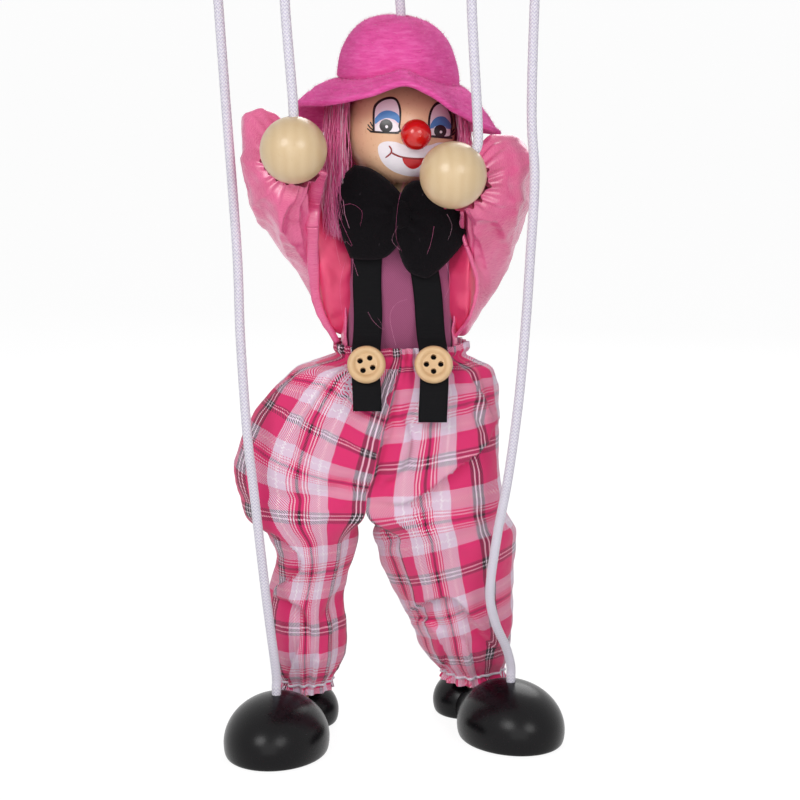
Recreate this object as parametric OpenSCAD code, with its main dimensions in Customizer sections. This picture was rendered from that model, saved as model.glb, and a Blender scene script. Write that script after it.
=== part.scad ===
// Clown marionette that hangs on five cords from a crossed wooden control.
// Heights are measured from the shoe soles, the puppet faces -Y, and left and right are its own.
// placed() then moves everything so that the hang hole of the control is the origin.

/* [Head and hat] */
// Diameter of the wooden head ball
head_d = 35; // [32:0.5:40]
// Height of the head's centre above the torso block
neck_rise = 21; // [19:0.5:24]
// Turn of the face towards the puppet's left
head_turn = 15; // [0:1:25]
// Diameter of the ball nose
nose_d = 9.5; // [7:0.5:12]
// Distance of the nose's centre from the head's surface
nose_out = 1.5; // [0.5:0.25:3]
// Ease of the hat's crown around the head ball
crown_ease = 1.5; // [1:0.1:3]
// Height of the hat's crown above its brim
crown_rise = 21; // [18:0.5:25]
// Height of the hat's foot above the head's centre
hat_lift = 14; // [12:0.5:15]
// Mean width of the hat's brim
brim_w = 12.5; // [8:0.5:15]
// Thickness of the hat's fleece
fleece_t = 1.6; // [1:0.1:2]

/* [Trunk] */
// Width of the torso block
torso_w = 32; // [30:0.5:36]
// Depth of the torso block
torso_d = 18; // [16:0.5:20]
// Height of the torso block's foot above the hip axis
waist_rise = 20; // [18:0.5:23]
// Height of the torso block
torso_rise = 46; // [45:0.5:50]
// Distance of the shoulder axis below the torso block's top
shoulder_drop = 6; // [5:0.25:8]
// Height of the hip axis above the knee axis
thigh_rise = 52; // [48:0.5:58]
// Distance of each hip from the middle
hip_x = 13; // [12:0.5:16]
// Height of the pelvis block
pelvis_rise = 16; // [13:0.5:18]
// Depth of the pelvis block
pelvis_d = 14; // [10:0.5:18]

/* [Limbs] */
// Diameter of the leg dowels
leg_d = 7; // [5:0.25:8]
// Diameter of the arm dowels
arm_d = 6; // [5:0.25:7]
// Diameter of the neck post
neck_d = 6; // [4:0.25:8]
// Height of the knee axis above the ankle axis
shin_rise = 56; // [52:0.5:60]
// Diameter of every wire pin
pin_d = 2; // [1:0.1:2.5]
// Diameter of the wooden hand balls
hand_d = 20.3; // [18:0.1:23]

/* [Shoes] */
// Half width of the shoe's toe ball
toe_r = 17; // [15:0.25:19]
// Half length of the shoe's toe ball
toe_long = 21; // [18:0.25:24]
// Radius of the shoe's heel ball
heel_r = 11.5; // [10.5:0.25:12]
// Distance of the heel's centre behind the end of the toe ball
heel_gap = 10; // [9:0.25:13]
// Height of the shoe's turning axis above its sole
sole_cut = 4.5; // [3:0.25:4.5]
// Distance of the ankle behind the end of the toe ball
ankle_gap = 2; // [1.5:0.25:4]
// Height of the ankle axis above the sole
ankle_h = 8; // [7:0.25:9]

/* [Clothes] */
// Thickness of the cloth
cloth_t = 0.8; // [0.6:0.05:1]
// Distance of the trousers' waist edge below the torso block's foot
waist_drop = 2; // [0.5:0.25:4]
// Distance of the crotch below the hip axis
crotch_drop = 32; // [28:0.5:36]
// Distance of the trouser cuffs below the top of the shoes
cuff_drop = 3.3; // [1.5:0.1:3.6]
// Depth of each fold of the trousers as a share of its radius
fold_depth = 0.05; // [0:0.005:0.07]
// Width of the ribbon straps
strap_w = 9; // [6:0.25:11]
// Thickness of the ribbon straps
strap_t = 0.6; // [0.4:0.05:1]
// Distance of each strap's middle from the torso block's side
strap_inset = 5.5; // [4:0.25:8]
// Diameter of the buttons
button_d = 12; // [9:0.25:14]
// Thickness of the buttons
button_t = 3; // [2:0.1:4]
// Diameter of the bow's knot
knot_d = 8.4; // [6:0.2:9]

/* [Control and cords] */
// Diameter of the cords
cord_d = 3; // [2:0.1:3.2]
// Diameter of the cord knots
cord_knot_d = 6.4; // [5:0.2:9]
// Height of the control's underside above the head's centre
control_rise = 97; // [92:0.5:102]
// Thickness of the hand and leg bars
cross_t = 5; // [4:0.25:7]
// Thickness of the main bar
main_t = 6; // [5:0.25:9]
// Width of the three bars
bar_w = 13; // [11:0.5:16]
// Length of the main bar
main_l = 104; // [100:1:125]
// Radius of the hang hole
hang_r = 2.5; // [2:0.1:4]

/* [Fits] */
// Radial clearance of pins and dowels in their bores
running = 0.05; // [0.02:0.01:0.09]
// Space between neighbouring pieces that move or lie on each other
gap = 0.3; // [0.25:0.01:0.4]

/* [Hidden] */
$fn = 48;

// Colours of the finished puppet
pale_wood = "#e1c896";
skin = "#e6b48c";
hot_pink = "#e6408a";
satin_pink = "#e8739f";
mauve = "#a85a80";
black = "#1c1a1e";
steel = "#b9bcc0";
white = "#f0ecf2";

// Named points of the puppet, right side first
RIGHT = 0;
LEFT = 1;
sides = [-1, 1];
ankle_back = toe_long + ankle_gap;
toe_to_heel = toe_long + heel_gap;
knee_h = ankle_h + shin_rise;
hip_h = knee_h + thigh_rise;
torso_foot = hip_h + waist_rise;
torso_top = torso_foot + torso_rise;
shoulder_h = torso_top - shoulder_drop;
head_h = torso_top + neck_rise;
control_h = head_h + control_rise;
waist_h = torso_foot - waist_drop;
crotch_h = hip_h - crotch_drop;
cuff_h = sole_cut + toe_r - cuff_drop;
head_c = [0, 0, head_h];
hand_reach = 35;
hand_rise = [23.5, 16];
elbow_x = [-34, 30];
hand_x = [-32, 16];
elbow = [for (s = [RIGHT, LEFT]) [elbow_x[s], 0, shoulder_h]];
hand = [for (s = [RIGHT, LEFT]) [hand_x[s], -hand_reach, shoulder_h + hand_rise[s]]];
hand_hole_lean = [0, 40];
hip = [[-hip_x, 0, hip_h], [hip_x, 0, hip_h]];
knee = [[-24, 5, knee_h], [20, 10, knee_h]];
toe = [[-40.5, -7.5], [37, 6]];
splay = [-15, 27];
ankle = [for (s = [RIGHT, LEFT])
    [toe[s].x - ankle_back * sin(splay[s]), toe[s].y + ankle_back * cos(splay[s]), ankle_h]];

// Sizes that follow from the ones above
head_r = head_d / 2;
crown_r = head_r + crown_ease;
bore_d = pin_d + 2 * running;
pin_head_d = 1.8 * pin_d;
pin_head_t = 0.8;
cord_bore_d = cord_d + 0.4;
cord_seat = 4;
arm_socket = 10;
neck_socket = 9;
hand_socket = 7;
waist_socket = 6;
waist_d = 6;
pelvis_w = 2 * (hip_x - leg_d / 2 - gap);
pelvis_top = hip_h + pelvis_rise / 2;
block_corner = 6;
hat_foot = head_h + hat_lift;
wig_r = crown_r - fleece_t - gap;
shirt_gap = gap + cloth_t;
jacket_gap = shirt_gap + gap + cloth_t;
sleeve_x = torso_w / 2 + jacket_gap + gap;
shirt_front = -torso_d / 2 - shirt_gap;
strap_x = torso_w / 2 - strap_inset;
elastic_t = 1;
elastic_rise = 3.5;
lap = 1;
eye_d = leg_d + 1;
peg_rise = 12;
peg_d = leg_d - 1;
ankle_grip = 2;
sleeve_folds = 0.03;
bow_folds = 0.05;

// The control above the puppet
control_c = [-8, 2];
leg_bar_y = -10;
hand_bar_y = -32;
leg_hole_x = [-59, 43];
hand_hole_x = [-36, 20];
bar_end = 7;
main_front = -42;
hang_inset = 12;
hang_y = main_front + main_l - hang_inset;
main_z = control_h + cross_t;
main_top = main_z + main_t;
cross_top = control_h + cross_t;
origin = [control_c.x, hang_y, main_z + main_t / 2];
screw_d = 3;
screw_head_d = 6;
screw_head_t = 1.4;

// Routes of the cords from the puppet up to the control, chosen by hand
head_route = [[0, 0, 217], [0, 0, 230], [0, 0, 243], [-4, 1, 268], [-8, 2, 290], [-8, 2, main_top]];
hand_route = [
    [[-32, -35, hand[0].z + 6.2], [-32, -35, 214], [-34, -34, 240], [-35.5, -33, 270],
        [-36, -32, 290], [-36, -32, cross_top]],
    [[21.2, -35, hand[1].z + 6.2], [23.2, -35, 200.8], [23.2, -35, 209], [21.4, -34, 240],
        [20.5, -33, 270], [20, -32, 290], [20, -32, cross_top]]];
foot_route = [
    [[-40.5, -7.5, 18], [-40.5, -7.5, 22], [-40.6, -7.8, 28], [-43, -14, 54], [-46, -19, 88], [-48, -21, 110],
        [-50, -17, 140], [-51, -13, 167], [-54, -11, 213], [-57, -10, 260], [-59, -10, 282],
        [-59, -10, 294], [-59, -10, cross_top]],
    [[37, 6, 18], [37, 6, 22], [36.8, 5.6, 26], [35, 2, 33], [31, -6, 44], [29, -12, 56], [31, -17, 76],
        [34, -21, 95], [37, -23, 120], [39, -23, 145], [40, -25, 165], [41, -27, 190], [40, -25, 210],
        [41, -18, 245], [43, -10, 282], [43, -10, 294], [43, -10, cross_top]]];
foot_spans = 27;
hand_spans = 9;
head_spans = 6;

// Middle of the leg at a height, along the ankle peg, the shin and the thigh
function leg_axis(s, z) =
    let (bend_z = ankle_h + peg_rise, a = ankle[s], k = knee[s], h = hip[s])
    z < bend_z ? a :
        z < k.z ? a + (k - a) * (z - bend_z) / (k.z - bend_z) : k + (h - k) * (z - k.z) / (h.z - k.z);
function leg_station(s, row) =
    let (z = cuff_h + row[0] * (crotch_h - gap - cuff_h), c = leg_axis(s, z))
    [[c.x + row[1].x, c.y + row[1].y, z], [row[2], 0, 0], [0, row[3], 0], row[4]];
function seat_station(row) =
    [[row[1], 0, crotch_h + row[0] * (waist_h - crotch_h)], [row[2], 0, 0], [0, row[3], 0], row[4]];

// Trousers: share of the height, middle, half width, half depth and fold depth
waist_rx = torso_w / 2 + 5.8;
waist_ry = torso_d / 2 + 5.5;
seat_stations = [for (row = [
    [0, -9.5, 43.5, 18, 0.4],
    [0.22, -10, 43, 19, 0.8],
    [0.42, -9, 41, 19, 1],
    [0.62, -6.5, 38, 18.5, 1],
    [0.82, -3, waist_rx + 11.7, waist_ry + 3, 1],
    [0.92, -0.5, waist_rx + 4.2, waist_ry + 1, 1],
    [0.97, 0, waist_rx - 0.3, waist_ry - 0.3, 0.8],
    [1, 0, waist_rx, waist_ry, 0.8]]) seat_station(row)];
leg_stations = [
    [for (row = [
        [0, [1.5, -0.7], 9, 9, 1.4],
        [0.05, [1.7, -1.4], 9.8, 9.8, 1.4],
        [0.16, [1.1, -2.3], 13, 12, 0.8],
        [0.3, [-0.7, -2.2], 13.1, 13, 0.8],
        [0.45, [-2.9, -2.1], 12.4, 13, 1],
        [0.6, [-3.7, -1.4], 12.2, 13, 1],
        [0.77, [-6.6, -1.5], 15.8, 15, 1],
        [0.92, [-11.1, -2.6], 20, 16.5, 0.6],
        [1, [-12, -2.6], 20.4, 16.8, 0.4]]) leg_station(RIGHT, row)],
    [for (row = [
        [0, [-1.8, -1], 10, 10, 1.4],
        [0.05, [-2.6, -2], 11, 10.4, 1.4],
        [0.13, [-3.3, -3.9], 13.7, 13.5, 0.8],
        [0.29, [-3.3, -5], 17, 15.5, 0.8],
        [0.48, [-4.1, -4.3], 19.2, 16.5, 1],
        [0.74, [-4.6, -4.4], 22.4, 17, 1],
        [0.89, [-4.3, -5.5], 22.6, 17, 0.6],
        [1, [-4.5, -5.7], 21.4, 16.8, 0.4]]) leg_station(LEFT, row)]];

// Sleeves from the armhole past the elbow to the wrist behind the hand
armhole_low = waist_h + 3.4;
armhole_high = shoulder_h + arm_d / 2 + 3.6;
armhole_z = (armhole_low + armhole_high) / 2;
armhole_rise = (armhole_high - armhole_low) / 2;
armhole_depth = torso_d / 2 + 0.5;
wrist_gap = 1.2;
function wrist(s) =
    let (v = hand[s] - elbow[s])
    hand[s] - v / norm(v) * (hand_d / 2 + wrist_gap);
function armhole(s) =
    [[sides[s] * sleeve_x, 0, armhole_z], [0, -armhole_depth, 0], [0, 0, armhole_rise], 0.5];
sleeve_stations = [
    [armhole(RIGHT),
        [[-sleeve_x - 7.5, 0, armhole_z + 6], [0, -11, 0], [-4, 0, armhole_rise - 2.6], 1],
        [elbow[0] + [-3, -4, 7], [11.5, -10, 0], [-4, -2, 17], 1],
        [wrist(RIGHT) + [-5.4, 7.4, -1], [11, -3, -4], [-4, 6, 14], 0.8],
        [wrist(RIGHT), [7, 0, -1], [0, 4, 6], 1.4]],
    [armhole(LEFT),
        [[sleeve_x + 2, -2.5, armhole_z + 4], [0, -13.5, 0], [0, 0, armhole_rise - 2.6], 1],
        [elbow[1] + [0.5, -3.5, 5], [-12, -11.5, 0], [0, -2, 18], 1],
        [wrist(LEFT) + [8.2, 8.4, 0.4], [-10, 3.5, 0], [3, 4, 13], 0.8],
        [wrist(LEFT), [-6.5, 2.5, 0], [1, 2.5, 6.5], 1.4]]];

// Bow: each loop's stations lie beside and below its knot
bow_knot_h = torso_top - 4;
bow_y = shirt_front - gap - knot_d / 2;
bow_side = knot_d / 2 + gap;
function loop_station(s, row) =
    [[sides[s] * (bow_side + row[0].x), bow_y + row[0].y, bow_knot_h + row[0].z], [row[1], 0, 0], [0, row[2], 0], row[3]];
bow_loops = [
    [for (row = [
        [[2.5, -0.8, 14], 2, 1.2, 0],
        [[5.5, -1.4, 10], 7, 2.6, 0.6],
        [[7, -2.4, 2], 7, 4, 1],
        [[6.7, -2.4, -6], 8.6, 4.4, 1],
        [[5.5, -1.2, -13], 6, 3, 0.6],
        [[5, 0, -15.5], 2, 1.2, 0]]) loop_station(RIGHT, row)],
    [for (row = [
        [[3.1, -0.4, 8.5], 2, 1.2, 0],
        [[5.5, -1, 5], 5, 2.4, 0.6],
        [[6.1, -2, -2], 5.8, 3.6, 1],
        [[5.9, -2.4, -10], 9.4, 4.4, 1],
        [[4.5, -1.2, -17.5], 6.4, 3, 0.6],
        [[4, 0, -20], 2, 1.2, 0]]) loop_station(LEFT, row)]];
// Side view of the straps from the bow down over the waist to their ends
strap_bend = [[shirt_front - gap, bow_knot_h - 10], [shirt_front - gap, waist_h + 12],
    [-waist_ry - 1.5, waist_h + 1.5], [-waist_ry - 5.3, waist_h - 7.5]];
strap_foot = [[-waist_ry - 7.3, waist_h - 17], [-waist_ry - 7.3, waist_h - 20.5]];

seat_count = 36;
leg_count = 24;
sleeve_count = 24;
loop_count = 16;
hat_count = 26;

// Curve through hand-chosen points and other small functions
function clamp_at(list, i) = list[max(0, min(len(list) - 1, i))];
function bend(a, b, c, d, t) =
    0.5 * (2 * b + t * (c - a) + t * t * (2 * a - 5 * b + 4 * c - d) + t * t * t * (3 * b - 3 * c + d - a));
function curve(list, s) =
    let (i = min(floor(s), len(list) - 2))
    bend(clamp_at(list, i - 1), list[i], list[i + 1], clamp_at(list, i + 2), s - i);
function column(list, k) = [for (row = list) row[k]];
function square_off(x, e) = sign(x) * pow(abs(x), e);
function push_out(p, c, d) = p + (p - c) / max(norm(p - c), 0.01) * d;

// One ring of a cloth shape: waves gives the number of folds, e squares the ring off below 1
function cloth_ring(stations, s, count, waves, depth, e) =
    let (c = curve(column(stations, 0), s), u = curve(column(stations, 1), s))
    let (v = curve(column(stations, 2), s), k = depth * curve(column(stations, 3), s))
    [for (i = [0:count - 1])
        let (a = 360 * i / count, wave = cos(waves * a + 40 * s) + 0.4 * sin((waves - 2) * a - 25 * s))
        c + (u * square_off(cos(a), e) + v * square_off(sin(a), e)) * (1 + k * wave)];
function ring_middle(ring) = [for (k = [0:2]) column(ring, k) * [for (p = ring) 1] / len(ring)];
function inner_ring(ring, t) = let (c = ring_middle(ring)) [for (p = ring) push_out(p, c, -t)];
function backwards(list) = [for (i = [len(list) - 1:-1:0]) list[i]];
function flat_list(lists) = [for (l = lists) for (p = l) p];

// Triangles between neighbouring rings of equal count
function band(a, b, count, flip) = [for (i = [0:count - 1])
    let (j = (i + 1) % count, q = [a * count + i, a * count + j, b * count + j, b * count + i])
    for (f = [[q[0], q[3], q[1]], [q[1], q[3], q[2]]]) flip ? backwards(f) : f];
function turns_left(a, b) =
    (ring_middle(b) - ring_middle(a)) * cross(a[0] - ring_middle(a), a[floor(len(a) / 4)] - ring_middle(a)) > 0;

// Closed cloth tube with open ends
module shell(rings, t) {
    count = len(rings[0]);
    inner = [for (r = backwards(rings)) inner_ring(r, t)];
    all = concat(rings, inner);
    flip = !turns_left(rings[0], rings[1]);
    polyhedron(flat_list(all), flat_list([for (k = [0:len(all) - 1]) band(k, (k + 1) % len(all), count, flip)]));
}

// Closed solid with a point at either end
module plump(rings) {
    count = len(rings[0]);
    n = len(rings);
    flip = !turns_left(rings[0], rings[1]);
    points = concat(flat_list(rings), [ring_middle(rings[0]), ring_middle(rings[n - 1])]);
    first = n * count;
    caps = [for (i = [0:count - 1]) let (j = (i + 1) % count)
        for (f = [[first, i, j], [first + 1, (n - 1) * count + j, (n - 1) * count + i]])
            flip ? backwards(f) : f];
    polyhedron(points, concat(caps, flat_list([for (k = [0:n - 2]) band(k, k + 1, count, flip)])));
}

// Rings of a cloth shape, steps of them between neighbouring stations
function cloth_rings(stations, steps, count, waves, depth, e = 1) =
    let (n = (len(stations) - 1) * steps)
    [for (k = [0:n]) cloth_ring(stations, k / steps, count, waves, depth, e)];

// Cord as one tube of level rings along its route
module cord(route, spans) {
    sides_round = 8;
    color(white) plump([for (k = [0:spans])
        let (c = curve(route, k * (len(route) - 1) / spans))
        [for (i = [0:sides_round - 1]) c + cord_d / 2 * [cos(360 * i / sides_round), sin(360 * i / sides_round), 0]]]);
}

// Moves the puppet from its soles to the hang hole
module placed() {
    translate(-origin) children();
}

// Dowel or bore from one point to another
module rod(a, b, d) {
    v = b - a;
    translate(a)
        rotate([0, acos(v.z / norm(v)), atan2(v.y, v.x)])
            cylinder(d = d, h = norm(v));
}

// Pin with a head at either end, along an axis through a joint
module wire_pin(c, axis, grip) {
    reach = grip / 2 + running;
    color(steel) {
        rod(c - axis * reach, c + axis * reach, pin_d);
        for (s = sides) rod(c + s * axis * reach, c + s * axis * (reach + pin_head_t), pin_head_d);
    }
}

// End of a dowel that laps half of another: everything on one side of the joint is cut away
module lap_cut(c, axis, keep, d) {
    wide = 2 * lap * d;
    turn = axis.z != 0 ? [0, 0, 0] : [0, 90, atan2(axis.y, axis.x)];
    translate(c)
        rotate(turn)
            translate([0, 0, keep > 0 ? -d + gap / 2 : -gap / 2])
                cylinder(d = wide, h = d);
}

// Rounded block, or a sleeve of it that is grown by wider
module block_outline(wider) {
    r = block_corner + wider;
    for (x = sides) for (y = sides)
        translate([x * (torso_w / 2 - block_corner), y * (torso_d / 2 - block_corner)]) circle(r);
    square([torso_w + 2 * wider, torso_d - 2 * block_corner], center = true);
    square([torso_w - 2 * block_corner, torso_d + 2 * wider], center = true);
}
module block_sleeve(inner, outer, low, high) {
    translate([0, 0, low])
        linear_extrude(high - low)
            difference() {
                block_outline(outer);
                block_outline(inner);
            }
}
module shoulder_holes(d) {
    translate([0, 0, shoulder_h]) rotate([0, 90, 0]) cylinder(d = d, h = 2 * torso_w, center = true);
}

// Control
module bar_hole(x, y, d) {
    translate([x, y, control_h - 1]) cylinder(d = d, h = cross_t + main_t + 2);
}
module control_main_bar() {
    color(pale_wood) difference() {
        translate([control_c.x - bar_w / 2, main_front, main_z]) cube([bar_w, main_l, main_t]);
        bar_hole(control_c.x, control_c.y, cord_bore_d);
        for (y = [leg_bar_y, hand_bar_y]) bar_hole(control_c.x, y, screw_d + 2 * running);
        bar_hole(control_c.x, hang_y, 2 * hang_r);
    }
}
module cross_bar(hole_x, y) {
    color(pale_wood) difference() {
        translate([hole_x[0] - bar_end, y - bar_w / 2, control_h])
            cube([hole_x[1] - hole_x[0] + 2 * bar_end, bar_w, cross_t]);
        for (x = hole_x) bar_hole(x, y, cord_bore_d);
        bar_hole(control_c.x, y, screw_d + 2 * running);
    }
}
module control_hand_bar() {
    cross_bar(hand_hole_x, hand_bar_y);
}
module control_leg_bar() {
    cross_bar(leg_hole_x, leg_bar_y);
}
module control_screws() {
    color(steel) for (y = [leg_bar_y, hand_bar_y])
        translate([control_c.x, y, control_h + 1]) {
            cylinder(d = screw_d, h = main_top - control_h - 1);
            translate([0, 0, main_top - control_h - 1]) cylinder(d = screw_head_d, h = screw_head_t);
        }
}
module knot_on(x, y, z) {
    translate([x, y, z]) intersection() {
        translate([0, 0, 0.3 * cord_knot_d]) sphere(d = cord_knot_d);
        translate([-cord_knot_d, -cord_knot_d, 0]) cube(2 * cord_knot_d);
    }
}
module cord_knots() {
    color(white) {
        knot_on(control_c.x, control_c.y, main_top);
        for (x = hand_hole_x) knot_on(x, hand_bar_y, cross_top);
        for (x = leg_hole_x) knot_on(x, leg_bar_y, cross_top);
    }
}

// Head
nod_axis = [cos(head_turn), sin(head_turn), 0];
face = [sin(head_turn), -cos(head_turn), 0];
nod_room = 14;
nose_seat = 0.5;
module head_ball() {
    color(skin) difference() {
        translate(head_c) sphere(r = head_r, $fn = 96);
        translate(head_c) rotate([0, 0, head_turn]) translate([0, 0, -head_r / 2 + neck_d / 4])
            cube([neck_d + 2 * gap, nod_room, head_r + neck_d / 2 + 2 * gap], center = true);
        rod(head_c - nod_axis * head_d, head_c + nod_axis * head_d, bore_d);
        rod(head_c + face * (head_r - nose_seat), head_c + face * head_d, nose_d);
        translate(head_c + [0, 0, head_r - cord_seat]) cylinder(d = cord_bore_d, h = cord_seat + 1);
    }
}
module nose() {
    color("crimson") translate(head_c + face * (head_r + nose_out)) rotate([90, 0, head_turn])
        difference() {
            sphere(d = nose_d);
            translate([0, 0, -nose_out - nose_seat - nose_d]) cylinder(d = 2 * nose_d, h = nose_d);
        }
}
module neck_pin() {
    inset = 0.7;
    color(steel) rod(head_c - nod_axis * (head_r - inset), head_c + nod_axis * (head_r - inset), pin_d);
}
module neck_post() {
    color(pale_wood) difference() {
        union() {
            translate([0, 0, torso_top - neck_socket + gap])
                cylinder(d = neck_d, h = head_h - torso_top + neck_socket - gap);
            translate(head_c) sphere(d = neck_d);
        }
        rod(head_c - nod_axis * neck_d, head_c + nod_axis * neck_d, bore_d);
    }
}
module hair() {
    wig_low = head_h + 1;
    wig_high = hat_foot + 3;
    hairline = hat_foot - 3;
    lock_tip = head_h - 8;
    color("hotpink") difference() {
        union() {
            translate([0, 0, wig_low]) cylinder(r = wig_r, h = wig_high - wig_low);
            rod([-0.9 * wig_r, -3, head_h + 4], [-wig_r - 1.4, -4, lock_tip], 4.4);
            rod([0.96 * wig_r, 1, head_h + 4], [wig_r + 1.4, 0, lock_tip], 3.6);
        }
        translate(head_c) sphere(r = head_r + running, $fn = 96);
        rotate([0, 0, head_turn]) translate([-head_d, -head_d - 4, 0]) cube([2 * head_d, head_d, hairline]);
        translate(head_c) cylinder(d = cord_bore_d, h = head_d);
    }
}
module hat_crown() {
    foot = hat_foot + gap;
    rise = crown_rise - gap;
    peak_r = cord_bore_d / 2 + 0.2;
    shape = [[0, 1], [0.25, 1], [0.55, 0.93], [0.78, 0.76], [0.92, 0.5], [0.99, 0.22]];
    outer = concat([for (p = shape) [crown_r * p[1], foot + rise * p[0]]], [[peak_r, foot + rise]]);
    inner = concat([for (p = shape) [crown_r * p[1] - fleece_t, foot + (rise - fleece_t) * p[0]]],
        [[peak_r, foot + rise - fleece_t]]);
    profile = concat(outer, backwards(inner));
    lean = [-1.5, 0, 0];
    rings = [for (p = profile) [for (i = [0:hat_count - 1])
        let (a = 360 * i / hat_count, k = (p[1] - foot) / rise, dent = 1 + 0.035 * k * k * cos(3 * a + 60))
        k * k * lean * min(1, p[0] / peak_r - 1) + [p[0] * cos(a) * dent, p[0] * sin(a) * dent, p[1]]]];
    color("hotpink") polyhedron(flat_list(rings),
        flat_list([for (k = [0:len(rings) - 1]) band(k, (k + 1) % len(rings), hat_count, false)]));
}
// The brim droops at the sides and lifts to a peak over the face
brim_front = 272;
brim_droop = 9;
brim_tilt = 4;
brim_shift = 1.3;
brim_lift = 10;
brim_notch = 5;
function peak(a, spread) = exp(-pow((a - brim_front) / spread, 2));
function brim_edge_r(a) = crown_r + brim_w - brim_shift * cos(a) - brim_notch * peak(a, 25);
function brim_edge_z(a) = -brim_droop - brim_tilt * cos(a) + brim_lift * peak(a, 22);
module hat_brim() {
    foot_r = crown_r - fleece_t;
    steps = 4;
    tops = [for (k = [0:steps]) [k / steps, 0]];
    profile = concat(tops, [for (p = backwards(tops)) [p[0], -fleece_t]]);
    rings = [for (p = profile) [for (i = [0:hat_count - 1])
        let (a = 360 * i / hat_count, r = foot_r + (brim_edge_r(a) - foot_r) * p[0])
        [r * cos(a), r * sin(a), hat_foot + p[1] + brim_edge_z(a) * pow(p[0], 1.4)]]];
    color("hotpink") polyhedron(flat_list(rings),
        flat_list([for (k = [0:len(rings) - 1]) band(k, (k + 1) % len(rings), hat_count, true)]));
}

// Trunk
module torso_block() {
    color(pale_wood) difference() {
        translate([0, 0, torso_foot]) linear_extrude(torso_rise) block_outline(0);
        for (s = sides) translate([s * (torso_w / 2 - arm_socket), 0, shoulder_h])
            rotate([0, 90 * s, 0]) cylinder(d = arm_d + 2 * running, h = torso_w);
        translate([0, 0, torso_top - neck_socket]) cylinder(d = neck_d + 2 * running, h = neck_socket + 1);
        translate([0, 0, torso_foot - 1]) cylinder(d = waist_d + 2 * running, h = waist_socket + 1);
    }
}
module pelvis_block() {
    color(pale_wood) difference() {
        translate([-pelvis_w / 2, -pelvis_d / 2, pelvis_top - pelvis_rise])
            cube([pelvis_w, pelvis_d, pelvis_rise]);
        rod([-pelvis_w, 0, hip_h], [pelvis_w, 0, hip_h], bore_d);
        translate([0, 0, pelvis_top - waist_socket]) cylinder(d = waist_d + 2 * running, h = waist_socket + 1);
    }
}
module waist_dowel() {
    low = pelvis_top - waist_socket;
    color(pale_wood) translate([0, 0, low]) cylinder(d = waist_d, h = torso_foot + waist_socket - low);
}
module hip_pin() {
    wire_pin([0, 0, hip_h], [1, 0, 0], 2 * hip_x + leg_d);
}
module shirt() {
    tuck = 8;
    color(mauve) difference() {
        block_sleeve(gap, shirt_gap, waist_h - tuck, torso_top);
        shoulder_holes(arm_d + 2 * gap);
    }
}
module jacket() {
    opening = torso_w - 4;
    color(satin_pink) difference() {
        block_sleeve(jacket_gap - cloth_t, jacket_gap, waist_h + gap, torso_top);
        shoulder_holes(arm_d + 2 * gap);
        translate([-opening / 2, -torso_d - torso_w, waist_h]) cube([opening, torso_w + torso_d, torso_rise * 2]);
    }
}
module bow_loop(s) {
    color(black) plump(cloth_rings(bow_loops[s], 2, loop_count, 4, bow_folds));
}
module bow_right_loop() {
    bow_loop(RIGHT);
}
module bow_left_loop() {
    bow_loop(LEFT);
}
module bow_knot() {
    color(black) translate([0, bow_y, bow_knot_h]) sphere(d = knot_d);
}
module strap(s) {
    path = concat(strap_bend, [strap_foot[s]]);
    front = [for (p = backwards(path)) p - [strap_t, 0]];
    color(black) translate([sides[s] * strap_x - strap_w / 2, 0, 0])
        rotate([90, 0, 90]) linear_extrude(strap_w) polygon(concat(path, front));
}
module right_strap() {
    strap(RIGHT);
}
module left_strap() {
    strap(LEFT);
}
module button(s) {
    a = strap_bend[2];
    b = strap_bend[3];
    slope = atan2(a.x - b.x, a.y - b.y);
    rim = 1.4;
    dish = 0.9;
    hole_d = 1.7;
    hole_ring = 1.9;
    color("#d7af7d")
        translate([sides[s] * strap_x, (a.x + b.x) / 2 - strap_t - gap / 2, (a.y + b.y) / 2])
            rotate([90 - slope, 0, 0]) difference() {
                cylinder(d = button_d, h = button_t);
                translate([0, 0, button_t - dish]) cylinder(d = button_d - 2 * rim, h = button_t);
                for (x = sides) for (y = sides) translate([x, y, -0.1] * hole_ring / sqrt(2))
                    cylinder(d = hole_d, h = 2 * button_t, center = true);
            }
}
module right_button() {
    button(RIGHT);
}
module left_button() {
    button(LEFT);
}
module trouser_seat() {
    color(hot_pink) shell(cloth_rings(seat_stations, 2, seat_count, 8, fold_depth, 0.72), cloth_t);
}
module waist_elastic() {
    color(white) block_sleeve(shirt_gap + gap, shirt_gap + gap + elastic_t, waist_h - elastic_rise, waist_h);
}

// Arms
module upper_arm(s) {
    x = sides[s];
    start = [x * (torso_w / 2 - arm_socket + gap), 0, shoulder_h];
    color(pale_wood) difference() {
        union() {
            rod(start, elbow[s], arm_d);
            translate(elbow[s]) cylinder(d = arm_d, h = arm_d, center = true);
        }
        lap_cut(elbow[s], [0, 0, 1], -1, arm_d);
        translate(elbow[s]) cylinder(d = bore_d, h = 2 * arm_d, center = true);
    }
}
module forearm(s) {
    v = hand[s] - elbow[s];
    tip = hand[s] - v / norm(v) * (hand_d / 2 - hand_socket + gap);
    color(pale_wood) difference() {
        union() {
            rod(elbow[s], tip, arm_d);
            translate(elbow[s]) cylinder(d = arm_d, h = arm_d, center = true);
        }
        lap_cut(elbow[s], [0, 0, 1], 1, arm_d);
        translate(elbow[s]) cylinder(d = bore_d, h = 3 * arm_d, center = true);
        translate(elbow[s] + [0, 0, arm_d / 2]) cylinder(d = pin_head_d + 2 * gap, h = arm_d);
    }
}
module elbow_pin(s) {
    wire_pin(elbow[s], [0, 0, 1], arm_d);
}
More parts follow.
